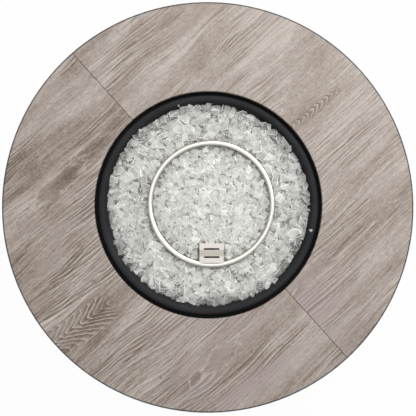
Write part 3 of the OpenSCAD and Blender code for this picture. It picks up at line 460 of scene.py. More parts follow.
def weathered_oak(name, shift, points, figures):
    """Grey limed oak: bundles of pale and dark growth lines on plain wood, pores and dark patches.

    shift moves the noise, so that the panels differ; points and figures are the panel's own.
    """
    material, tree, shader, place = new_finish(name)
    tip, width, along, lean = points
    grain = oak_grain(tree, place, shift, tip)
    nested = use(tree, OAK_CATHEDRAL, Vector=grain, Tip=tip, Width=width, Along=along, Lean=lean)
    in_points = nested["Heart"]
    ragged = times(tree, grain_wave(tree, grain, shift, 35, 90, 3), 0.9)
    rise, heart, patch, outline = oak_figures(tree, place, ragged, figures)
    heart = calc(tree, "MULTIPLY_ADD", in_points, 0.13, heart)
    jagged = span(tree, in_points, 0.05, 0.6, 0.4, 0.8)
    loose = span(tree, in_points, 0.05, 0.6, 2.6, 0.9)
    zigzag = times(tree, grain_wave(tree, grain, shift, 60, 110), jagged)
    drift = times(tree, grain_wave(tree, grain, shift, 4, 30), loose)
    ring = nested["Rings"]
    for change in (rise, zigzag, drift):
        ring = calc(tree, "ADD", ring, change)
    pale, late = oak_lines(tree, ring)

    # Where the lines are strong
    vivid = span(tree, dot(tree, place, SOFT_SIDE), -0.25, 0.25, 1.0, 0.66)
    bundle = span(tree, grain_noise(tree, grain, shift, 3, 13), 0.45, 0.61, PLAIN_WOOD, 1.0)
    fade = span(tree, grain_noise(tree, grain, shift, 9, 60, 3), 0.36, 0.58, 0.15, 1.0)
    off_flank = span(tree, nested["Flank"], 0.0, 1.0, 1.0, 0.1)
    strong = times(tree, span(tree, in_points, 0.78, 0.97), span(tree, fade, 0.15, 0.6, 0.5, 1.0))
    bare = span(tree, patch, 0.0, 1.0, 1.0, 0.15)
    force = calc(tree, "MAXIMUM", times(tree, vivid, bundle, fade, off_flank), strong)
    force = times(tree, force, bare)

    # Tone under the lines
    aside = calc(tree, "ABSOLUTE", dot(tree, place, MAUVE_ACROSS))
    calm = times(tree, span(tree, dot(tree, place, MAUVE_WAY), 0.15, 0.3), span(tree, aside, 0.24, 0.14))
    drawn = times(tree, vivid, bare)
    shares = {
        "broad": times(tree, vivid, span(tree, calm, 0.0, 1.0, 2.0, 1.3)),
        "streak": times(tree, drawn, 0.45),
        "thread": times(tree, drawn, span(tree, bundle, PLAIN_WOOD, 1.0, 0.8, 3.6)),
        "fibre": 0.6,
        "mottle": 0.9,
        "blotch": 0.45,
    }
    layers = {label: grain_wave(tree, grain, shift, *scales) for label, scales in OAK_LAYERS.items()}
    # Painted light: the oak's tone rises towards the key light and falls away from it as painted shade
    lit = dot(tree, place, PAINTED_LIGHT_SIDE)
    tone = calc(tree, "ADD", span(tree, calm, 0.0, 1.0, 0.54, 0.62), span(tree, lit, -0.1, 0.4, 0.0, 0.2))
    tone = calc(tree, "SUBTRACT", tone, span(tree, lit, -0.2, -0.36, 0.0, 0.07))
    for label, share in shares.items():
        tone = calc(tree, "MULTIPLY_ADD", layers[label], share, tone)
    tone = calc(tree, "SUBTRACT", tone, heart)

    colour = ramp(tree, tone, OAK_TONES)
    mauve = span(tree, grain_noise(tree, grain, shift, 2.5, 12), 0.48, 0.66, 0.0, 0.55)
    colour = mix(tree, times(tree, mauve, span(tree, calm, 0.0, 1.0, 0.1, 1.8)), colour, MAUVE)
    colour = mix(tree, times(tree, late, force), colour, LATE_WOOD)
    limed = calc(tree, "MAXIMUM", times(tree, pale, force), outline)
    colour = mix(tree, limed, colour, LIMED_LINE)
    ticks = span(tree, grain_noise(tree, grain, shift, 110, 430), 0.6, 0.68)
    flocks = span(tree, grain_noise(tree, grain, shift, 8, 24), 0.48, 0.64, 0.1, 0.7)
    colour = mix(tree, times(tree, ticks, flocks, vivid), colour, PORE)
    feed(tree, shader.inputs["Base Color"], colour)
    feed(tree, shader.inputs["Roughness"], span(tree, tone, 0.1, 0.9, 0.72, 0.56))
    shader.inputs["Specular IOR Level"].default_value = 0.25
    raised = calc(tree, "ADD", layers["fibre"], layers["thread"])
    height = calc(tree, "MULTIPLY_ADD", limed, -0.6, raised)
    feed(tree, shader.inputs["Normal"], bump(tree, height, 0.35, 0.25 * MM))
    return material


# Metal, plastic and ceramic

def powder_coat(name, colour, roughness, specular, grain, wear=0.5, dust=0.25):
    """A baked coat on steel sheet: pebbled, slightly uneven, rubbed grey along its edges, dusty on top."""
    material, tree, shader, place = new_finish(name)
    texture = use(tree, COAT_TEXTURE, Vector=place, Grain=grain)
    rubbed = use(tree, EDGE_WEAR, Vector=place, Reach=1.2 * MM, Amount=wear)["Mask"]
    dusty = use(tree, SETTLED_DUST, Vector=place, Amount=dust)["Mask"]
    base = mix(tree, span(tree, texture["Drift"], 0.35, 0.7), colour, toned(colour, 1.5, 0.004))
    base = mix(tree, rubbed, base, shade(118, 117, 115))
    base = mix(tree, dusty, base, shade(128, 124, 118))
    feed(tree, shader.inputs["Base Color"], base)
    feed(tree, shader.inputs["Roughness"],
         span(tree, texture["Drift"], 0.3, 0.7, roughness - 0.06, roughness + 0.08))
    shader.inputs["Specular IOR Level"].default_value = specular
    feed(tree, shader.inputs["Normal"], bump(tree, texture["Height"], 0.3, 0.15 * MM))
    return material


def brushed_metal(name, colour, roughness, strokes=None, flank_shade=None, dark_band=None):
    """A bare metal with fine strokes, smears in its gloss and brighter rubbed edges.

    strokes turns the piece's coordinates so that X runs along the strokes. The flank colour is painted shade
    on the faces that look to the side, painted darker still on the burner ring's inner side. The band gives
    the middle, half width and colour of a darker band across Y.
    """
    material, tree, shader, place = new_finish(name)
    along = strokes(tree, place) if strokes else place
    brushed = use(tree, BRUSHING, Vector=along)
    rubbed = use(tree, EDGE_WEAR, Vector=place, Reach=0.8 * MM, Amount=0.5)["Mask"]
    base = mix(tree, span(tree, brushed["Stroke"], 0.3, 0.7), toned(colour, 0.8), colour)
    if flank_shade:
        # Painted shade: faces that look to the side are darker than the top of the tube
        base = mix(tree, span(tree, facing_up(tree), 0.8, 0.55), base, flank_shade)
        # Painted shade, darker still on the ring's inner side
        inner_side_shade = span(tree, part_of(tree, along, "Y"), RING_R - 1.6 * MM, RING_R - 3.4 * MM)
        base = mix(tree, inner_side_shade, base, toned(flank_shade, 0.85))
    # Darker in a band across Y
    if dark_band:
        middle, half, tint = dark_band
        far = calc(tree, "ABSOLUTE", calc(tree, "SUBTRACT", part_of(tree, place, "Y"), middle))
        base = mix(tree, span(tree, far, 1.3 * half, 0.7 * half), base, tint)
    base = mix(tree, rubbed, base, shade(232, 230, 226))
    feed(tree, shader.inputs["Base Color"], base)
    shader.inputs["Metallic"].default_value = 1.0
    feed(tree, shader.inputs["Roughness"],
         span(tree, brushed["Smear"], 0.3, 0.7, roughness - 0.07, roughness + 0.1))
    feed(tree, shader.inputs["Normal"], bump(tree, brushed["Stroke"], 0.16, 0.05 * MM))
    return material


def strokes_round_ring(tree, place):
    """Coordinates for strokes that run round the burner ring; Y is the distance from its axis."""
    centred = vector_calc(tree, "SUBTRACT", place, (RING_X, RING_Y, 0))
    angle = calc(tree, "ARCTAN2", part_of(tree, centred, "Y"), part_of(tree, centred, "X"))
    reach = length_of(tree, vector_calc(tree, "MULTIPLY", centred, (1, 1, 0)))
    return add(tree, "CombineXYZ", {
        "X": times(tree, angle, RING_R), "Y": reach, "Z": part_of(tree, centred, "Z")}).outputs[0]


def zinc_plate():
    """Zinc-plated steel: a dull spangle of crystals, with white bloom in patches."""
    material, tree, shader, place = new_finish("zinc_plate")
    crystals = add(tree, "TexVoronoi", {"Vector": place, "Scale": 160.0}).outputs["Color"]
    shine = part_of(tree, crystals, "X")
    bloom = span(tree, cloud(tree, place, 45, 5, 0.65), 0.55, 0.75, 0.0, 0.6)
    base = mix(tree, shine, shade(158, 162, 166), shade(196, 199, 202))
    feed(tree, shader.inputs["Base Color"], mix(tree, bloom, base, shade(205, 206, 206)))
    shader.inputs["Metallic"].default_value = 1.0
    uneven = calc(tree, "MULTIPLY_ADD", shine, 0.12, 0.27)
    feed(tree, shader.inputs["Roughness"], calc(tree, "MULTIPLY_ADD", bloom, 0.4, uneven))
    feed(tree, shader.inputs["Normal"], bump(tree, cloud(tree, place, 800, 2), 0.12, 0.05 * MM))
    return material


def turned_brass():
    """Machined brass: fine tool marks and a brown tarnish in patches."""
    material, tree, shader, place = new_finish("turned_brass")
    marks = cloud(tree, stretch(tree, place, (60, 60, 2400)), 1, 2, 0.6)
    tarnish = span(tree, cloud(tree, place, 60, 5, 0.6), 0.48, 0.72, 0.0, 0.7)
    base = mix(tree, marks, shade(190, 150, 74), shade(224, 190, 112))
    feed(tree, shader.inputs["Base Color"], mix(tree, tarnish, base, shade(132, 96, 52)))
    shader.inputs["Metallic"].default_value = 1.0
    feed(tree, shader.inputs["Roughness"], calc(tree, "MULTIPLY_ADD", tarnish, 0.3, 0.26))
    feed(tree, shader.inputs["Normal"], bump(tree, marks, 0.12, 0.05 * MM))
    return material


def moulded_plastic(name, colour, roughness, grain):
    """Moulded plastic: a spark-eroded texture, with its gloss worn up along the edges."""
    material, tree, shader, place = new_finish(name)
    texture = use(tree, COAT_TEXTURE, Vector=place, Grain=grain)
    rubbed = use(tree, EDGE_WEAR, Vector=place, Reach=0.7 * MM, Amount=0.4)["Mask"]
    lighter = toned(colour, 1.6, 0.01)
    base = mix(tree, span(tree, texture["Drift"], 0.4, 0.75, 0.0, 0.4), colour, lighter)
    feed(tree, shader.inputs["Base Color"], mix(tree, rubbed, base, lighter))
    feed(tree, shader.inputs["Roughness"], calc(tree, "MULTIPLY_ADD", rubbed, -0.2, roughness))
    shader.inputs["Specular IOR Level"].default_value = 0.4
    feed(tree, shader.inputs["Normal"], bump(tree, texture["Height"], 0.2, 0.08 * MM))
    return material


def glazed_ceramic():
    """White electrode ceramic with faint soot."""
    material, tree, shader, place = new_finish("glazed_ceramic")
    soot = span(tree, cloud(tree, place, 120, 5, 0.6), 0.5, 0.75, 0.0, 0.5)
    feed(tree, shader.inputs["Base Color"], mix(tree, soot, shade(240, 236, 226), shade(150, 138, 122)))
    feed(tree, shader.inputs["Roughness"], calc(tree, "MULTIPLY_ADD", soot, 0.4, 0.18))
    feed(tree, shader.inputs["Normal"], bump(tree, cloud(tree, place, 300, 2), 0.06, 0.05 * MM))
    return material


# Glass finishes

# Attribute that holds each chunk's own tone
CHUNK_TONE = "chunk_tone"
# Facets, dark specks of painted shade and the pits of the deep glass, per metre
FACETS = 130.0
SPECKS = 170.0
PITS = 120.0
# How far the borders of facets and specks are bent
BEND = 9 * MM
GLASS_IOR = 1.5


def clear_glass(name, milk, tones, frost):
    """Crushed clear glass: facets, bright cracks, dark specks of painted shade, painted shade on sloping
    faces and painted light on level ones, a tone for each chunk.

    It has soot and painted shade beside the burner, and painted shade towards the bowl's wall. milk is the
    share of light that scatters on its faces, tones its (place, colour) stops, frost its highest roughness.
    Lamps shine through it.
    """
    material, tree, shader, place = new_finish(name)
    each = add(tree, "Attribute", attribute_name=CHUNK_TONE).outputs["Fac"]
    patches = span(tree, cloud(tree, place, 240, 3, 0.6, 0.6), 0.3, 0.7)
    swirl = add(tree, "TexNoise", {"Vector": place, "Scale": 150.0, "Detail": 2.0}).outputs["Color"]
    swirl = vector_calc(tree, "SUBTRACT", swirl, (0.5, 0.5, 0.5))
    bent = vector_calc(tree, "ADD", place, vector_calc(tree, "MULTIPLY", swirl, (BEND, BEND, BEND)))
    cells = add(tree, "TexVoronoi", {"Vector": bent, "Scale": FACETS}).outputs["Color"]
    facet = add(tree, "SeparateColor", {0: cells}).outputs[0]
    tone = times(tree, patches, 0.25)
    for layer, share in ((each, 0.4), (facet, 0.3)):
        tone = calc(tree, "MULTIPLY_ADD", layer, share, tone)
    normal = tree.nodes.new("ShaderNodeTexCoord").outputs["Normal"]
    # Painted shade and light: sloping faces are greyer and level faces lighter, as an overhead lamp would
    # shade them
    facet_shade = span(tree, dot(tree, normal, UP), 0.95, 0.35, -0.12, 0.3)
    base = ramp(tree, calc(tree, "SUBTRACT", tone, facet_shade), tones)
    crack = add(tree, "TexVoronoi", {"Vector": bent, "Scale": FACETS}, feature="DISTANCE_TO_EDGE")
    base = mix(tree, span(tree, crack.outputs[0], 0.08, 0.02, 0.0, 0.5), base, shade(253, 253, 250))
    # Dark specks in patches: painted shade of the gaps between chunks
    speck_cells = add(tree, "TexVoronoi", {"Vector": bent, "Scale": SPECKS}).outputs
    chosen = span(tree, add(tree, "SeparateColor", {0: speck_cells["Color"]}).outputs[0], 0.88, 0.9)
    speck_spread = span(tree, cloud(tree, place, 45, 2, 0.5), 0.4, 0.6, 0.15, 1.0)
    gap_speck = times(tree, chosen, span(tree, speck_cells["Distance"], 0.5, 0.25, 0.0, 0.9), speck_spread)
    base = mix(tree, gap_speck, base, shade(62, 62, 58))
    # Soot and painted shade beside the burner, painted shade towards the bowl's wall
    shade_and_soot = times(tree, use(tree, GLASS_SHADE, Vector=place)["Mask"], 0.26)
    feed(tree, shader.inputs["Base Color"], mix(tree, shade_and_soot, base, shade(126, 125, 120)))
    frosted = cloud(tree, place, 90, 3, 0.6)
    feed(tree, shader.inputs["Roughness"], span(tree, frosted, 0.42, 0.68, 0.02, frost))
    shader.inputs["Transmission Weight"].default_value = 1 - milk
    shader.inputs["IOR"].default_value = GLASS_IOR
    feed(tree, shader.inputs["Normal"], bump(tree, cloud(tree, place, 110, 2, 0.5, 0.8), 0.2, 1.0 * MM))
    lamp_ray = tree.nodes.new("ShaderNodeLightPath").outputs["Is Shadow Ray"]
    passing = add(tree, "BsdfTransparent", {"Color": (0.95, 0.95, 0.94, 1)}).outputs[0]
    lit = add(tree, "MixShader", {0: lamp_ray, 1: shader.outputs[0], 2: passing}).outputs[0]
    feed(tree, tree.nodes["Material Output"].inputs["Surface"], lit)
    return material


def deep_glass():
    """The glass under the top chunks, where light is lost among many faces: mottled grey to white, with
    painted shade along the edges of its pits.
    """
    material, tree, shader, place = new_finish("deep_glass")
    pits = add(tree, "TexVoronoi", {"Vector": place, "Scale": PITS}, feature="DISTANCE_TO_EDGE").outputs[0]
    uneven = span(tree, cloud(tree, place, 60, 4, 0.6), 0.3, 0.55)
    # Painted shade: darker along the edges of the pits, where the gaps between chunks lie
    mottle = times(tree, span(tree, pits, 0.0, 0.2), uneven)
    base = ramp(tree, mottle, [
        (0.0, shade(150, 150, 146)), (0.3, shade(218, 218, 213)), (1.0, shade(238, 238, 233))])
    # Soot and painted shade beside the burner, painted shade towards the bowl's wall
    shade_and_soot = times(tree, use(tree, GLASS_SHADE, Vector=place)["Mask"], 0.5)
    feed(tree, shader.inputs["Base Color"], mix(tree, shade_and_soot, base, shade(112, 110, 104)))
    feed(tree, shader.inputs["Roughness"], span(tree, mottle, 0.0, 1.0, 0.5, 0.15))
    feed(tree, shader.inputs["Normal"], bump(tree, pits, 0.6, 3 * MM))
    return material


# Crushed glass

SEED = 20
# Number of shard shapes and of cuts through each; the cuts' distance from its middle and the width of its
# chips, in its own unit
SHAPES = 14
CUTS = 5
CUT_REACH = (0.28, 0.46)
CHIP_WIDTH = 0.045
# Height of a shard's flat top over its middle, in its own unit
SHARD_TOP = 0.3
# Tries at a free spot in each layer of chunks, and how far a chunk may lie above or below its layer
TRIES = 26000
UNEVEN = 1.5 * MM
# Width and height of a loose chunk as shares of its length, and of one that lies on the bed
LOOSE_WIDTH = (0.6, 0.95)
LOOSE_HEIGHT = (0.42, 0.75)
SEATED_WIDTH = (0.8, 1.0)
SEATED_HEIGHT = (0.5, 0.8)
# Room that a chunk takes beside the burner tube and the pilot cover, as shares of its length
TUBE_ROOM = 0.34
COVER_ROOM = 0.3
# How far chunks may tilt from lying flat, in degrees
ANY_TILT = 180
LOOSE_TILT = 60
WALL_TILT = 40
STRAY_TILT = 30
# The bowl's wall: its slope, and how far inside it the bed's widest edge lies
WALL_SLOPE = math.radians(65)
WALL_GAP = 0.8 * MM
# Two small chips that lie on the bowl's rolled rim
STRAY_CHIPS = [Vector((0.2275, -0.0584, 0.6222)), Vector((-0.0665, 0.2225, 0.6195))]
STRAY_SIZE = 6 * MM


def glass_shard(rng):
    """One broken chunk, a unit across: a small block cut flat on top and on many sides, its edges chipped.

    The chipped edges take the second of its finishes.
    """
    bpy.ops.object.select_all(action="DESELECT")
    bpy.ops.mesh.primitive_cube_add(size=1.0)
    shard = bpy.context.object
    bpy.ops.object.mode_set(mode="EDIT")
    planes = [(Vector(UP), SHARD_TOP)]
    for _ in range(CUTS):
        aim = Vector([rng.gauss(0, 1) for _ in range(3)]).normalized()
        planes.append((aim, rng.uniform(*CUT_REACH)))
    for aim, far in planes:
        bpy.ops.mesh.select_all(action="SELECT")
        bpy.ops.mesh.bisect(plane_co=aim * far, plane_no=aim, use_fill=True, clear_outer=True)
    bpy.ops.object.mode_set(mode="OBJECT")
    shard.data.materials.append(None)
    shard.data.materials.append(None)
    chipped = shard.modifiers.new("chipped_edges", "BEVEL")
    chipped.width = CHIP_WIDTH
    chipped.segments = 1
    chipped.material = 1
    bpy.ops.object.modifier_apply(modifier=chipped.name)
    return shard


def scattered(rng, low, high, spacing):
    """Spots at random in the ring between two radii, none nearer to another than the spacing."""
    cells = {}
    spots = []
    for _ in range(TRIES):
        r = math.sqrt(rng.uniform(low * low, high * high))
        a = rng.uniform(0, math.tau)
        x, y = r * math.cos(a), r * math.sin(a)
        col, row = int(x // spacing), int(y // spacing)
        near = [p for i in (-1, 0, 1) for j in (-1, 0, 1) for p in cells.get((col + i, row + j), ())]
        if all(math.hypot(x - p[0], y - p[1]) >= spacing for p in near):
            cells.setdefault((col, row), []).append((x, y))
            spots.append((x, y))
    return spots


def bed_level(x, y):
    """Height of the glass bed at a spot: level, and lower beside the burner tube."""
    dip = 2.5 * MM
    reach = 11 * MM
    beside = abs(math.hypot(x - RING_X, y - RING_Y) - RING_R)
    return BED_Z - dip * math.exp(-(beside / reach) ** 2)


def chunk_tops(node):
    """The top of each chunk on a CAD bed: middle, normal and area of a face above all that it touches."""
    mesh = nodes[node].data
    corners = [[tuple(round(part, 5) for part in mesh.vertices[v].co) for v in face.vertices]
               for face in mesh.polygons]
    highest = {}
    for face, keys in zip(mesh.polygons, corners):
        for key in keys:
            highest[key] = max(highest.get(key, 0), face.center.z)
    tops = [face for face, keys in zip(mesh.polygons, corners)
            if all(highest[key] <= face.center.z for key in keys)]
    return [(face.center.copy(), face.normal.copy(), face.area) for face in tops]


def hits_burner(spot, size):
    """Whether a chunk there would run into the burner tube or the pilot cover."""
    from_ring = math.hypot(math.hypot(spot.x - RING_X, spot.y - RING_Y) - RING_R, spot.z - RING_Z)
    room = COVER_ROOM * size
    in_cover = (COVER_LOW.x - room < spot.x < COVER_HIGH.x + room
                and COVER_LOW.y - room < spot.y < COVER_HIGH.y + room)
    return from_ring < TUBE_R + TUBE_ROOM * size or in_cover


def chunk_matrix(rng, spot, size, tilt):
    """Place of one chunk: turned at random, tilted up to tilt degrees from lying flat."""
    lean = math.radians(tilt)
    turn = Euler((rng.uniform(-lean, lean), rng.uniform(-lean, lean), rng.uniform(0, math.tau)))
    form = Matrix.Diagonal((size, size * rng.uniform(*LOOSE_WIDTH), size * rng.uniform(*LOOSE_HEIGHT), 1))
    return Matrix.Translation(spot) @ turn.to_matrix().to_4x4() @ form


def bed_core(low, high, low_centre, high_centre):
    """The mass of glass under the top chunks: a thick plate between two circles."""
    sides = 144
    thick = 20 * MM
    drop = 8 * MM
    level = BED_Z - drop
    bpy.ops.object.select_all(action="DESELECT")
    bpy.ops.mesh.primitive_circle_add(
        vertices=sides, radius=high, fill_type="NOTHING", location=(*high_centre, level))
    core = bpy.context.object
    bpy.ops.object.transform_apply(location=True)
    bpy.ops.object.mode_set(mode="EDIT")
    bpy.ops.mesh.select_all(action="SELECT")
    bpy.ops.mesh.extrude_edges_move()
    bpy.ops.transform.resize(value=(low / high, low / high, 1), center_override=(*high_centre, level))
    bpy.ops.transform.translate(value=(low_centre[0] - high_centre[0], low_centre[1] - high_centre[1], 0))
    bpy.ops.mesh.select_all(action="SELECT")
    bpy.ops.mesh.extrude_region_move(TRANSFORM_OT_translate={"value": (0, 0, -thick)})
    bpy.ops.mesh.select_all(action="SELECT")
    bpy.ops.mesh.normals_make_consistent(inside=False)
    bpy.ops.object.mode_set(mode="OBJECT")
    return core


def clear_of_cover(core):
    """Cuts the pilot cover's room out of a core."""
    gap = 1.5 * MM
    taller = 0.1
    size = COVER_HIGH - COVER_LOW + Vector((2 * gap, 2 * gap, taller))
    bpy.ops.object.select_all(action="DESELECT")
    bpy.ops.mesh.primitive_cube_add(size=1.0, location=(COVER_LOW + COVER_HIGH) / 2, scale=size)
    room = bpy.context.object
    cutter = core.modifiers.new("cover_room", "BOOLEAN")
    cutter.operation = "DIFFERENCE"
    cutter.object = room
    bpy.context.view_layer.objects.active = core
    bpy.ops.object.modifier_apply(modifier=cutter.name)
    bpy.data.objects.remove(room)


def lay_glass(rng, name, node, core, shards, layers):
    """Copies shards to their places and joins them to the core as one piece that stands for a CAD node.

    Each layer is a finish, the finish of the broken edges and the chunks: a shard's number and a place.
    """
    bpy.ops.object.select_all(action="DESELECT")
    for finish, edge_finish, chunks in layers:
        for shape, matrix in chunks:
            copy = shards[shape].copy()
            copy.data = shards[shape].data.copy()
            copy.data.materials[0] = finish
            copy.data.materials[1] = edge_finish
            tone = copy.data.attributes.new(CHUNK_TONE, "FLOAT", "FACE")
            tone.data.foreach_set("value", [rng.random()] * len(copy.data.polygons))
            copy.matrix_world = matrix
            bpy.context.collection.objects.link(copy)
            copy.select_set(True)
    core.select_set(True)
    bpy.context.view_layer.objects.active = core
    bpy.ops.object.join()
    core.name = name
    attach(core, "table")
    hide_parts(node)


def heap(rng, low, high, centre, sizes, spacing, drop, tilt):
    """One layer of chunks over a ring round a centre, its chunks set drop below the bed's level."""
    chunks = []
    for x, y in scattered(rng, low, high, spacing):
        size = rng.uniform(*sizes)
        x, y = x + centre[0], y + centre[1]
        spot = Vector((x, y, bed_level(x, y) - drop + rng.uniform(-UNEVEN, UNEVEN)))
        shape = rng.randrange(SHAPES)
        matrix = chunk_matrix(rng, spot, size, tilt)
        if not hits_burner(spot, size):
            chunks.append((shape, matrix))
    return chunks


def seated(rng, node, grow):
    """One chunk on each chunk top of a CAD bed, turned at random about the top's normal.

    grow holds the least and the most that a chunk is larger than its top. One that meets the burner shrinks.
    """
    least = 5 * MM
    shrink = 0.85
    chunks = []
    for middle, normal, area in chunk_tops(node):
        size = math.sqrt(area) * rng.uniform(*grow)
        thick = size * rng.uniform(*SEATED_HEIGHT)
        spot = middle - normal * SHARD_TOP * thick
        while hits_burner(spot, size) and size > least:
            size *= shrink
        form = Matrix.Diagonal((size, size * rng.uniform(*SEATED_WIDTH), thick, 1))
        lean = Vector(UP).rotation_difference(normal).to_matrix().to_4x4()
        spin = Matrix.Rotation(rng.uniform(0, math.tau), 4, "Z")
        chunks.append((rng.randrange(SHAPES), Matrix.Translation(spot) @ lean @ spin @ form))
    return chunks


def bowl_wall(z):
    """Radius of the bowl's wall at a height."""
    return BED_R + WALL_GAP + (z - WIDEST_Z) / math.tan(WALL_SLOPE)


def rim_row(rng):
    """Chunks that lean against the bowl's wall, side by side all round, higher up it in places."""
    lift = 2.5 * MM
    lump_height = 1.2 * MM
    below_top = 0.55
    off_wall = 0.3
    chunks = []
    lumps = [(waves, rng.uniform(0, math.tau)) for waves in (4, 7, 11)]
    turn = 0.0
    while turn < math.tau:
        size = rng.uniform(16 * MM, 27 * MM)
        lump = sum(math.sin(waves * turn + lag) for waves, lag in lumps)
        z = BED_Z + lift + lump_height * lump + rng.uniform(-UNEVEN, UNEVEN)
        z = min(z, TABLE_TOP - below_top * size)
        r = bowl_wall(z) - off_wall * size
        spot = Vector((r * math.cos(turn), r * math.sin(turn), z))
        chunks.append((rng.randrange(SHAPES), chunk_matrix(rng, spot, size, WALL_TILT)))
        turn += rng.uniform(0.5, 0.75) * size / r
    return chunks


def fire_glass():
    """The bed of crushed glass, inside and outside the burner ring.

    Each part has a core, a low layer, the chunks on top of it and the chips between them.
    """
    rng = random.Random(SEED)
    shards = [glass_shard(rng) for _ in range(SHAPES)]
    deep = deep_glass()
    outer = clear_glass("clear_glass", 0.45, [
        (0.1, shade(92, 92, 88)), (0.35, shade(186, 186, 182)), (0.75, shade(255, 255, 252))], 0.15)
    inner = clear_glass("bright_glass", 0.45, [
        (0.1, shade(156, 156, 152)), (0.35, shade(226, 226, 222)), (0.8, shade(255, 255, 252))], 0.25)
    edge = clear_glass("broken_edge", 0.85, [(0.0, shade(246, 247, 244)), (1.0, shade(255, 255, 253))], 0.3)
    middle, ring = (0, 0), (RING_X, RING_Y)
    inner_r = RING_R - TUBE_R
    outer_low = heap(rng, RING_R, BED_R - 9 * MM, middle, sizes=(14 * MM, 20 * MM),
                     spacing=11 * MM, drop=9 * MM, tilt=ANY_TILT)
    outer_top = seated(rng, "fire_glass_outer", grow=(2.7, 3.4))
    outer_top += heap(rng, RING_R, BED_R - 6 * MM, middle, sizes=(9 * MM, 14 * MM),
                      spacing=18 * MM, drop=3 * MM, tilt=LOOSE_TILT)
    outer_top += rim_row(rng)
    for shape, spot in enumerate(STRAY_CHIPS):
        outer_top.append((shape, chunk_matrix(rng, spot, STRAY_SIZE, STRAY_TILT)))
    inner_low = heap(rng, 0, inner_r, ring, sizes=(10 * MM, 16 * MM),
                     spacing=8.5 * MM, drop=8 * MM, tilt=ANY_TILT)
    inner_top = seated(rng, "fire_glass_inner", grow=(2.6, 3.2))
    inner_top += heap(rng, 0, inner_r, ring, sizes=(7 * MM, 11 * MM),
                      spacing=12 * MM, drop=2 * MM, tilt=LOOSE_TILT)
    outer_core = bed_core(RING_R + 5 * MM, BED_R - 4 * MM, ring, middle)
    inner_core = bed_core(4 * MM, RING_R - 5 * MM, ring, ring)
    clear_of_cover(inner_core)
    for core in (outer_core, inner_core):
        core.data.materials.append(deep)
    lay_glass(rng, "crushed_glass_outer", "fire_glass_outer", outer_core, shards, [
        (deep, deep, outer_low), (outer, edge, outer_top)])
    lay_glass(rng, "crushed_glass_inner", "fire_glass_inner", inner_core, shards, [
        (deep, deep, inner_low), (inner, edge, inner_top)])
    for shard in shards:
        bpy.data.objects.remove(shard)


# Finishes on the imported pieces

def finish_pieces():
    """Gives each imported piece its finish, by the record's slots and by name where a piece has its own."""
    cover_middle = (COVER_LOW.y + COVER_HIGH.y) / 2
    # The cover is darker in a band across its middle, between its slots
    cover_band = (cover_middle, 7 * MM, shade(150, 145, 138))
    finishes = {
        "frame_steel": powder_coat("frame_steel", shade(78, 79, 82), 0.48, 0.35, 1100),
        "bowl_black": powder_coat("bowl_black", shade(40, 41, 43), 0.75, 0.1, 1500, wear=0.08, dust=0.03),
        "base_black": powder_coat("base_black", shade(40, 40, 42), 0.5, 0.4, 900),
        "burner_steel": brushed_metal("burner_steel", shade(214, 210, 202), 0.3),
        "zinc": zinc_plate(),
        "brass": turned_brass(),
        "ceramic": glazed_ceramic(),
        "black_plastic": moulded_plastic("black_plastic", shade(36, 36, 37), 0.45, 1400),
        "red_plastic": moulded_plastic("red_plastic", shade(172, 40, 32), 0.3, 2200),
        "foot_plastic": moulded_plastic("foot_rubber", shade(30, 30, 30), 0.7, 700),
    }
    own = {
        "panel_rear": weathered_oak("weathered_oak_rear", (0.31, 0.17, 0), REAR_POINTS, REAR_FIGURES),
        "panel_front": weathered_oak("weathered_oak_front", (1.73, 0.62, 0), FRONT_POINTS, FRONT_FIGURES),
        # Near-black, darker than a black coat: painted shade of the deep gap between the wood and the bowl
        "tabletop_frame": powder_coat("frame_gap_shade", shade(7, 7, 8), 0.8, 0.1, 1100, wear=0.0, dust=0.0),
        # The ring's flanks carry painted shade
        "burner_ring": brushed_metal("ring_steel", shade(216, 213, 205), 0.13, strokes_round_ring,
                                     flank_shade=shade(204, 202, 195)),
        "pilot_cover": brushed_metal("cover_steel", shade(184, 180, 174), 0.34, dark_band=cover_band),
        # Soot, and painted shade inside the pilot cover, where these show through its slots
        "thermocouple": brushed_metal("sooty_shaded_probe", shade(88, 80, 70), 0.45),
        "igniter_bracket": powder_coat("sooty_shaded_steel", shade(34, 32, 30), 0.7, 0.2, 800, wear=0.0, dust=0.0),
    }
    for part in frame["record"]["subparts"]:
        name, slot = part["node"], part["material_slot"]
        finish = own.get(name) or finishes.get(slot)
        if finish:
            nodes[name].data.materials.clear()
            nodes[name].data.materials.append(finish)


# Floor, light and camera

def white_behind(tree, lit, share):
    """A shader that the camera, reflections and glass see as white, mixed by share with its lit self."""
    light_path = tree.nodes.new("ShaderNodeLightPath").outputs
    seen = light_path["Is Camera Ray"]
    for ray in ("Is Glossy Ray", "Is Transmission Ray"):
        seen = calc(tree, "MAXIMUM", seen, light_path[ray])
    white = add(tree, "Emission", {"Color": (1, 1, 1, 1), "Strength": 1.0}).outputs[0]
    return add(tree, "MixShader", {0: times(tree, seen, share), 1: lit, 2: white}).outputs[0]


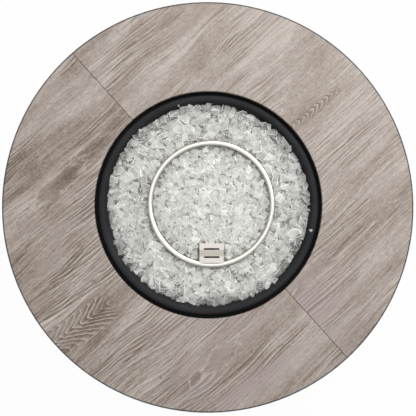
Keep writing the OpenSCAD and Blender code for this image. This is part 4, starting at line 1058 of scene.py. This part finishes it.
def pale_floor():
    """A plain pale floor that fades to white behind the table and keeps a little of its shadow."""
    bpy.ops.object.select_all(action="DESELECT")
    bpy.ops.mesh.primitive_plane_add(size=40.0)
    floor = bpy.context.object
    floor.name = "floor"
    material, tree, shader, place = new_finish("pale_floor")
    feed(tree, shader.inputs["Base Color"], mix(tree, cloud(tree, place, 3, 3), grey(0.86), grey(0.9)))
    shader.inputs["Roughness"].default_value = 0.9
    shader.inputs["Specular IOR Level"].default_value = 0.1
    surface = tree.nodes["Material Output"].inputs["Surface"]
    feed(tree, surface, white_behind(tree, shader.outputs[0], share=0.97))
    floor.data.materials.append(material)


def studio_world(strength):
    """Soft even light from all round, white where the camera, reflections and glass see it."""
    world = bpy.data.worlds.new("studio")
    world.use_nodes = True
    bpy.context.scene.world = world
    tree = world.node_tree
    ambient = tree.nodes["Background"]
    ambient.inputs["Color"].default_value = (1.0, 0.99, 0.98, 1)
    ambient.inputs["Strength"].default_value = strength
    surface = tree.nodes["World Output"].inputs["Surface"]
    feed(tree, surface, white_behind(tree, ambient.outputs[0], share=1.0))


def softbox(name, place, aim, size, power):
    """A square soft light that looks at a point."""
    light = bpy.data.lights.new(name, "AREA")
    light.size = size
    light.energy = power
    lamp = bpy.data.objects.new(name, light)
    bpy.context.scene.collection.objects.link(lamp)
    lamp.location = place
    lamp.rotation_euler = (Vector(aim) - Vector(place)).to_track_quat("-Z", "Y").to_euler()
    lamp.visible_camera = False


def photo_camera():
    """A camera above the table, almost straight down, as fitted to the outlines of tabletop and bowl."""
    image_px = 416
    focal_px = 700
    sensor_mm = 36
    place = Vector((-21.8 * MM, -103.5 * MM, TABLE_TOP + 1550.5 * MM))
    tilt_back = math.radians(3.473)
    tilt_aside = math.radians(-0.762)
    camera = bpy.data.cameras.new("photo_camera")
    camera.sensor_width = sensor_mm
    camera.lens = sensor_mm * focal_px / image_px
    holder = bpy.data.objects.new("photo_camera", camera)
    bpy.context.scene.collection.objects.link(holder)
    tilt = Matrix.Rotation(tilt_back, 4, "X") @ Matrix.Rotation(tilt_aside, 4, "Y")
    holder.matrix_world = Matrix.Translation(place) @ tilt
    bpy.context.scene.camera = holder


finish_pieces()
fire_glass()
pale_floor()
studio_world(strength=0.28)
softbox("key_softbox", place=(1.2, 1.6, 2.7), aim=(0, 0, 0.6), size=2.4, power=58)
softbox("top_softbox", place=(-0.2, 0.1, 3.6), aim=(0, 0, 0.6), size=3.4, power=30)
photo_camera()
bpy.context.scene.view_settings.view_transform = "Standard"
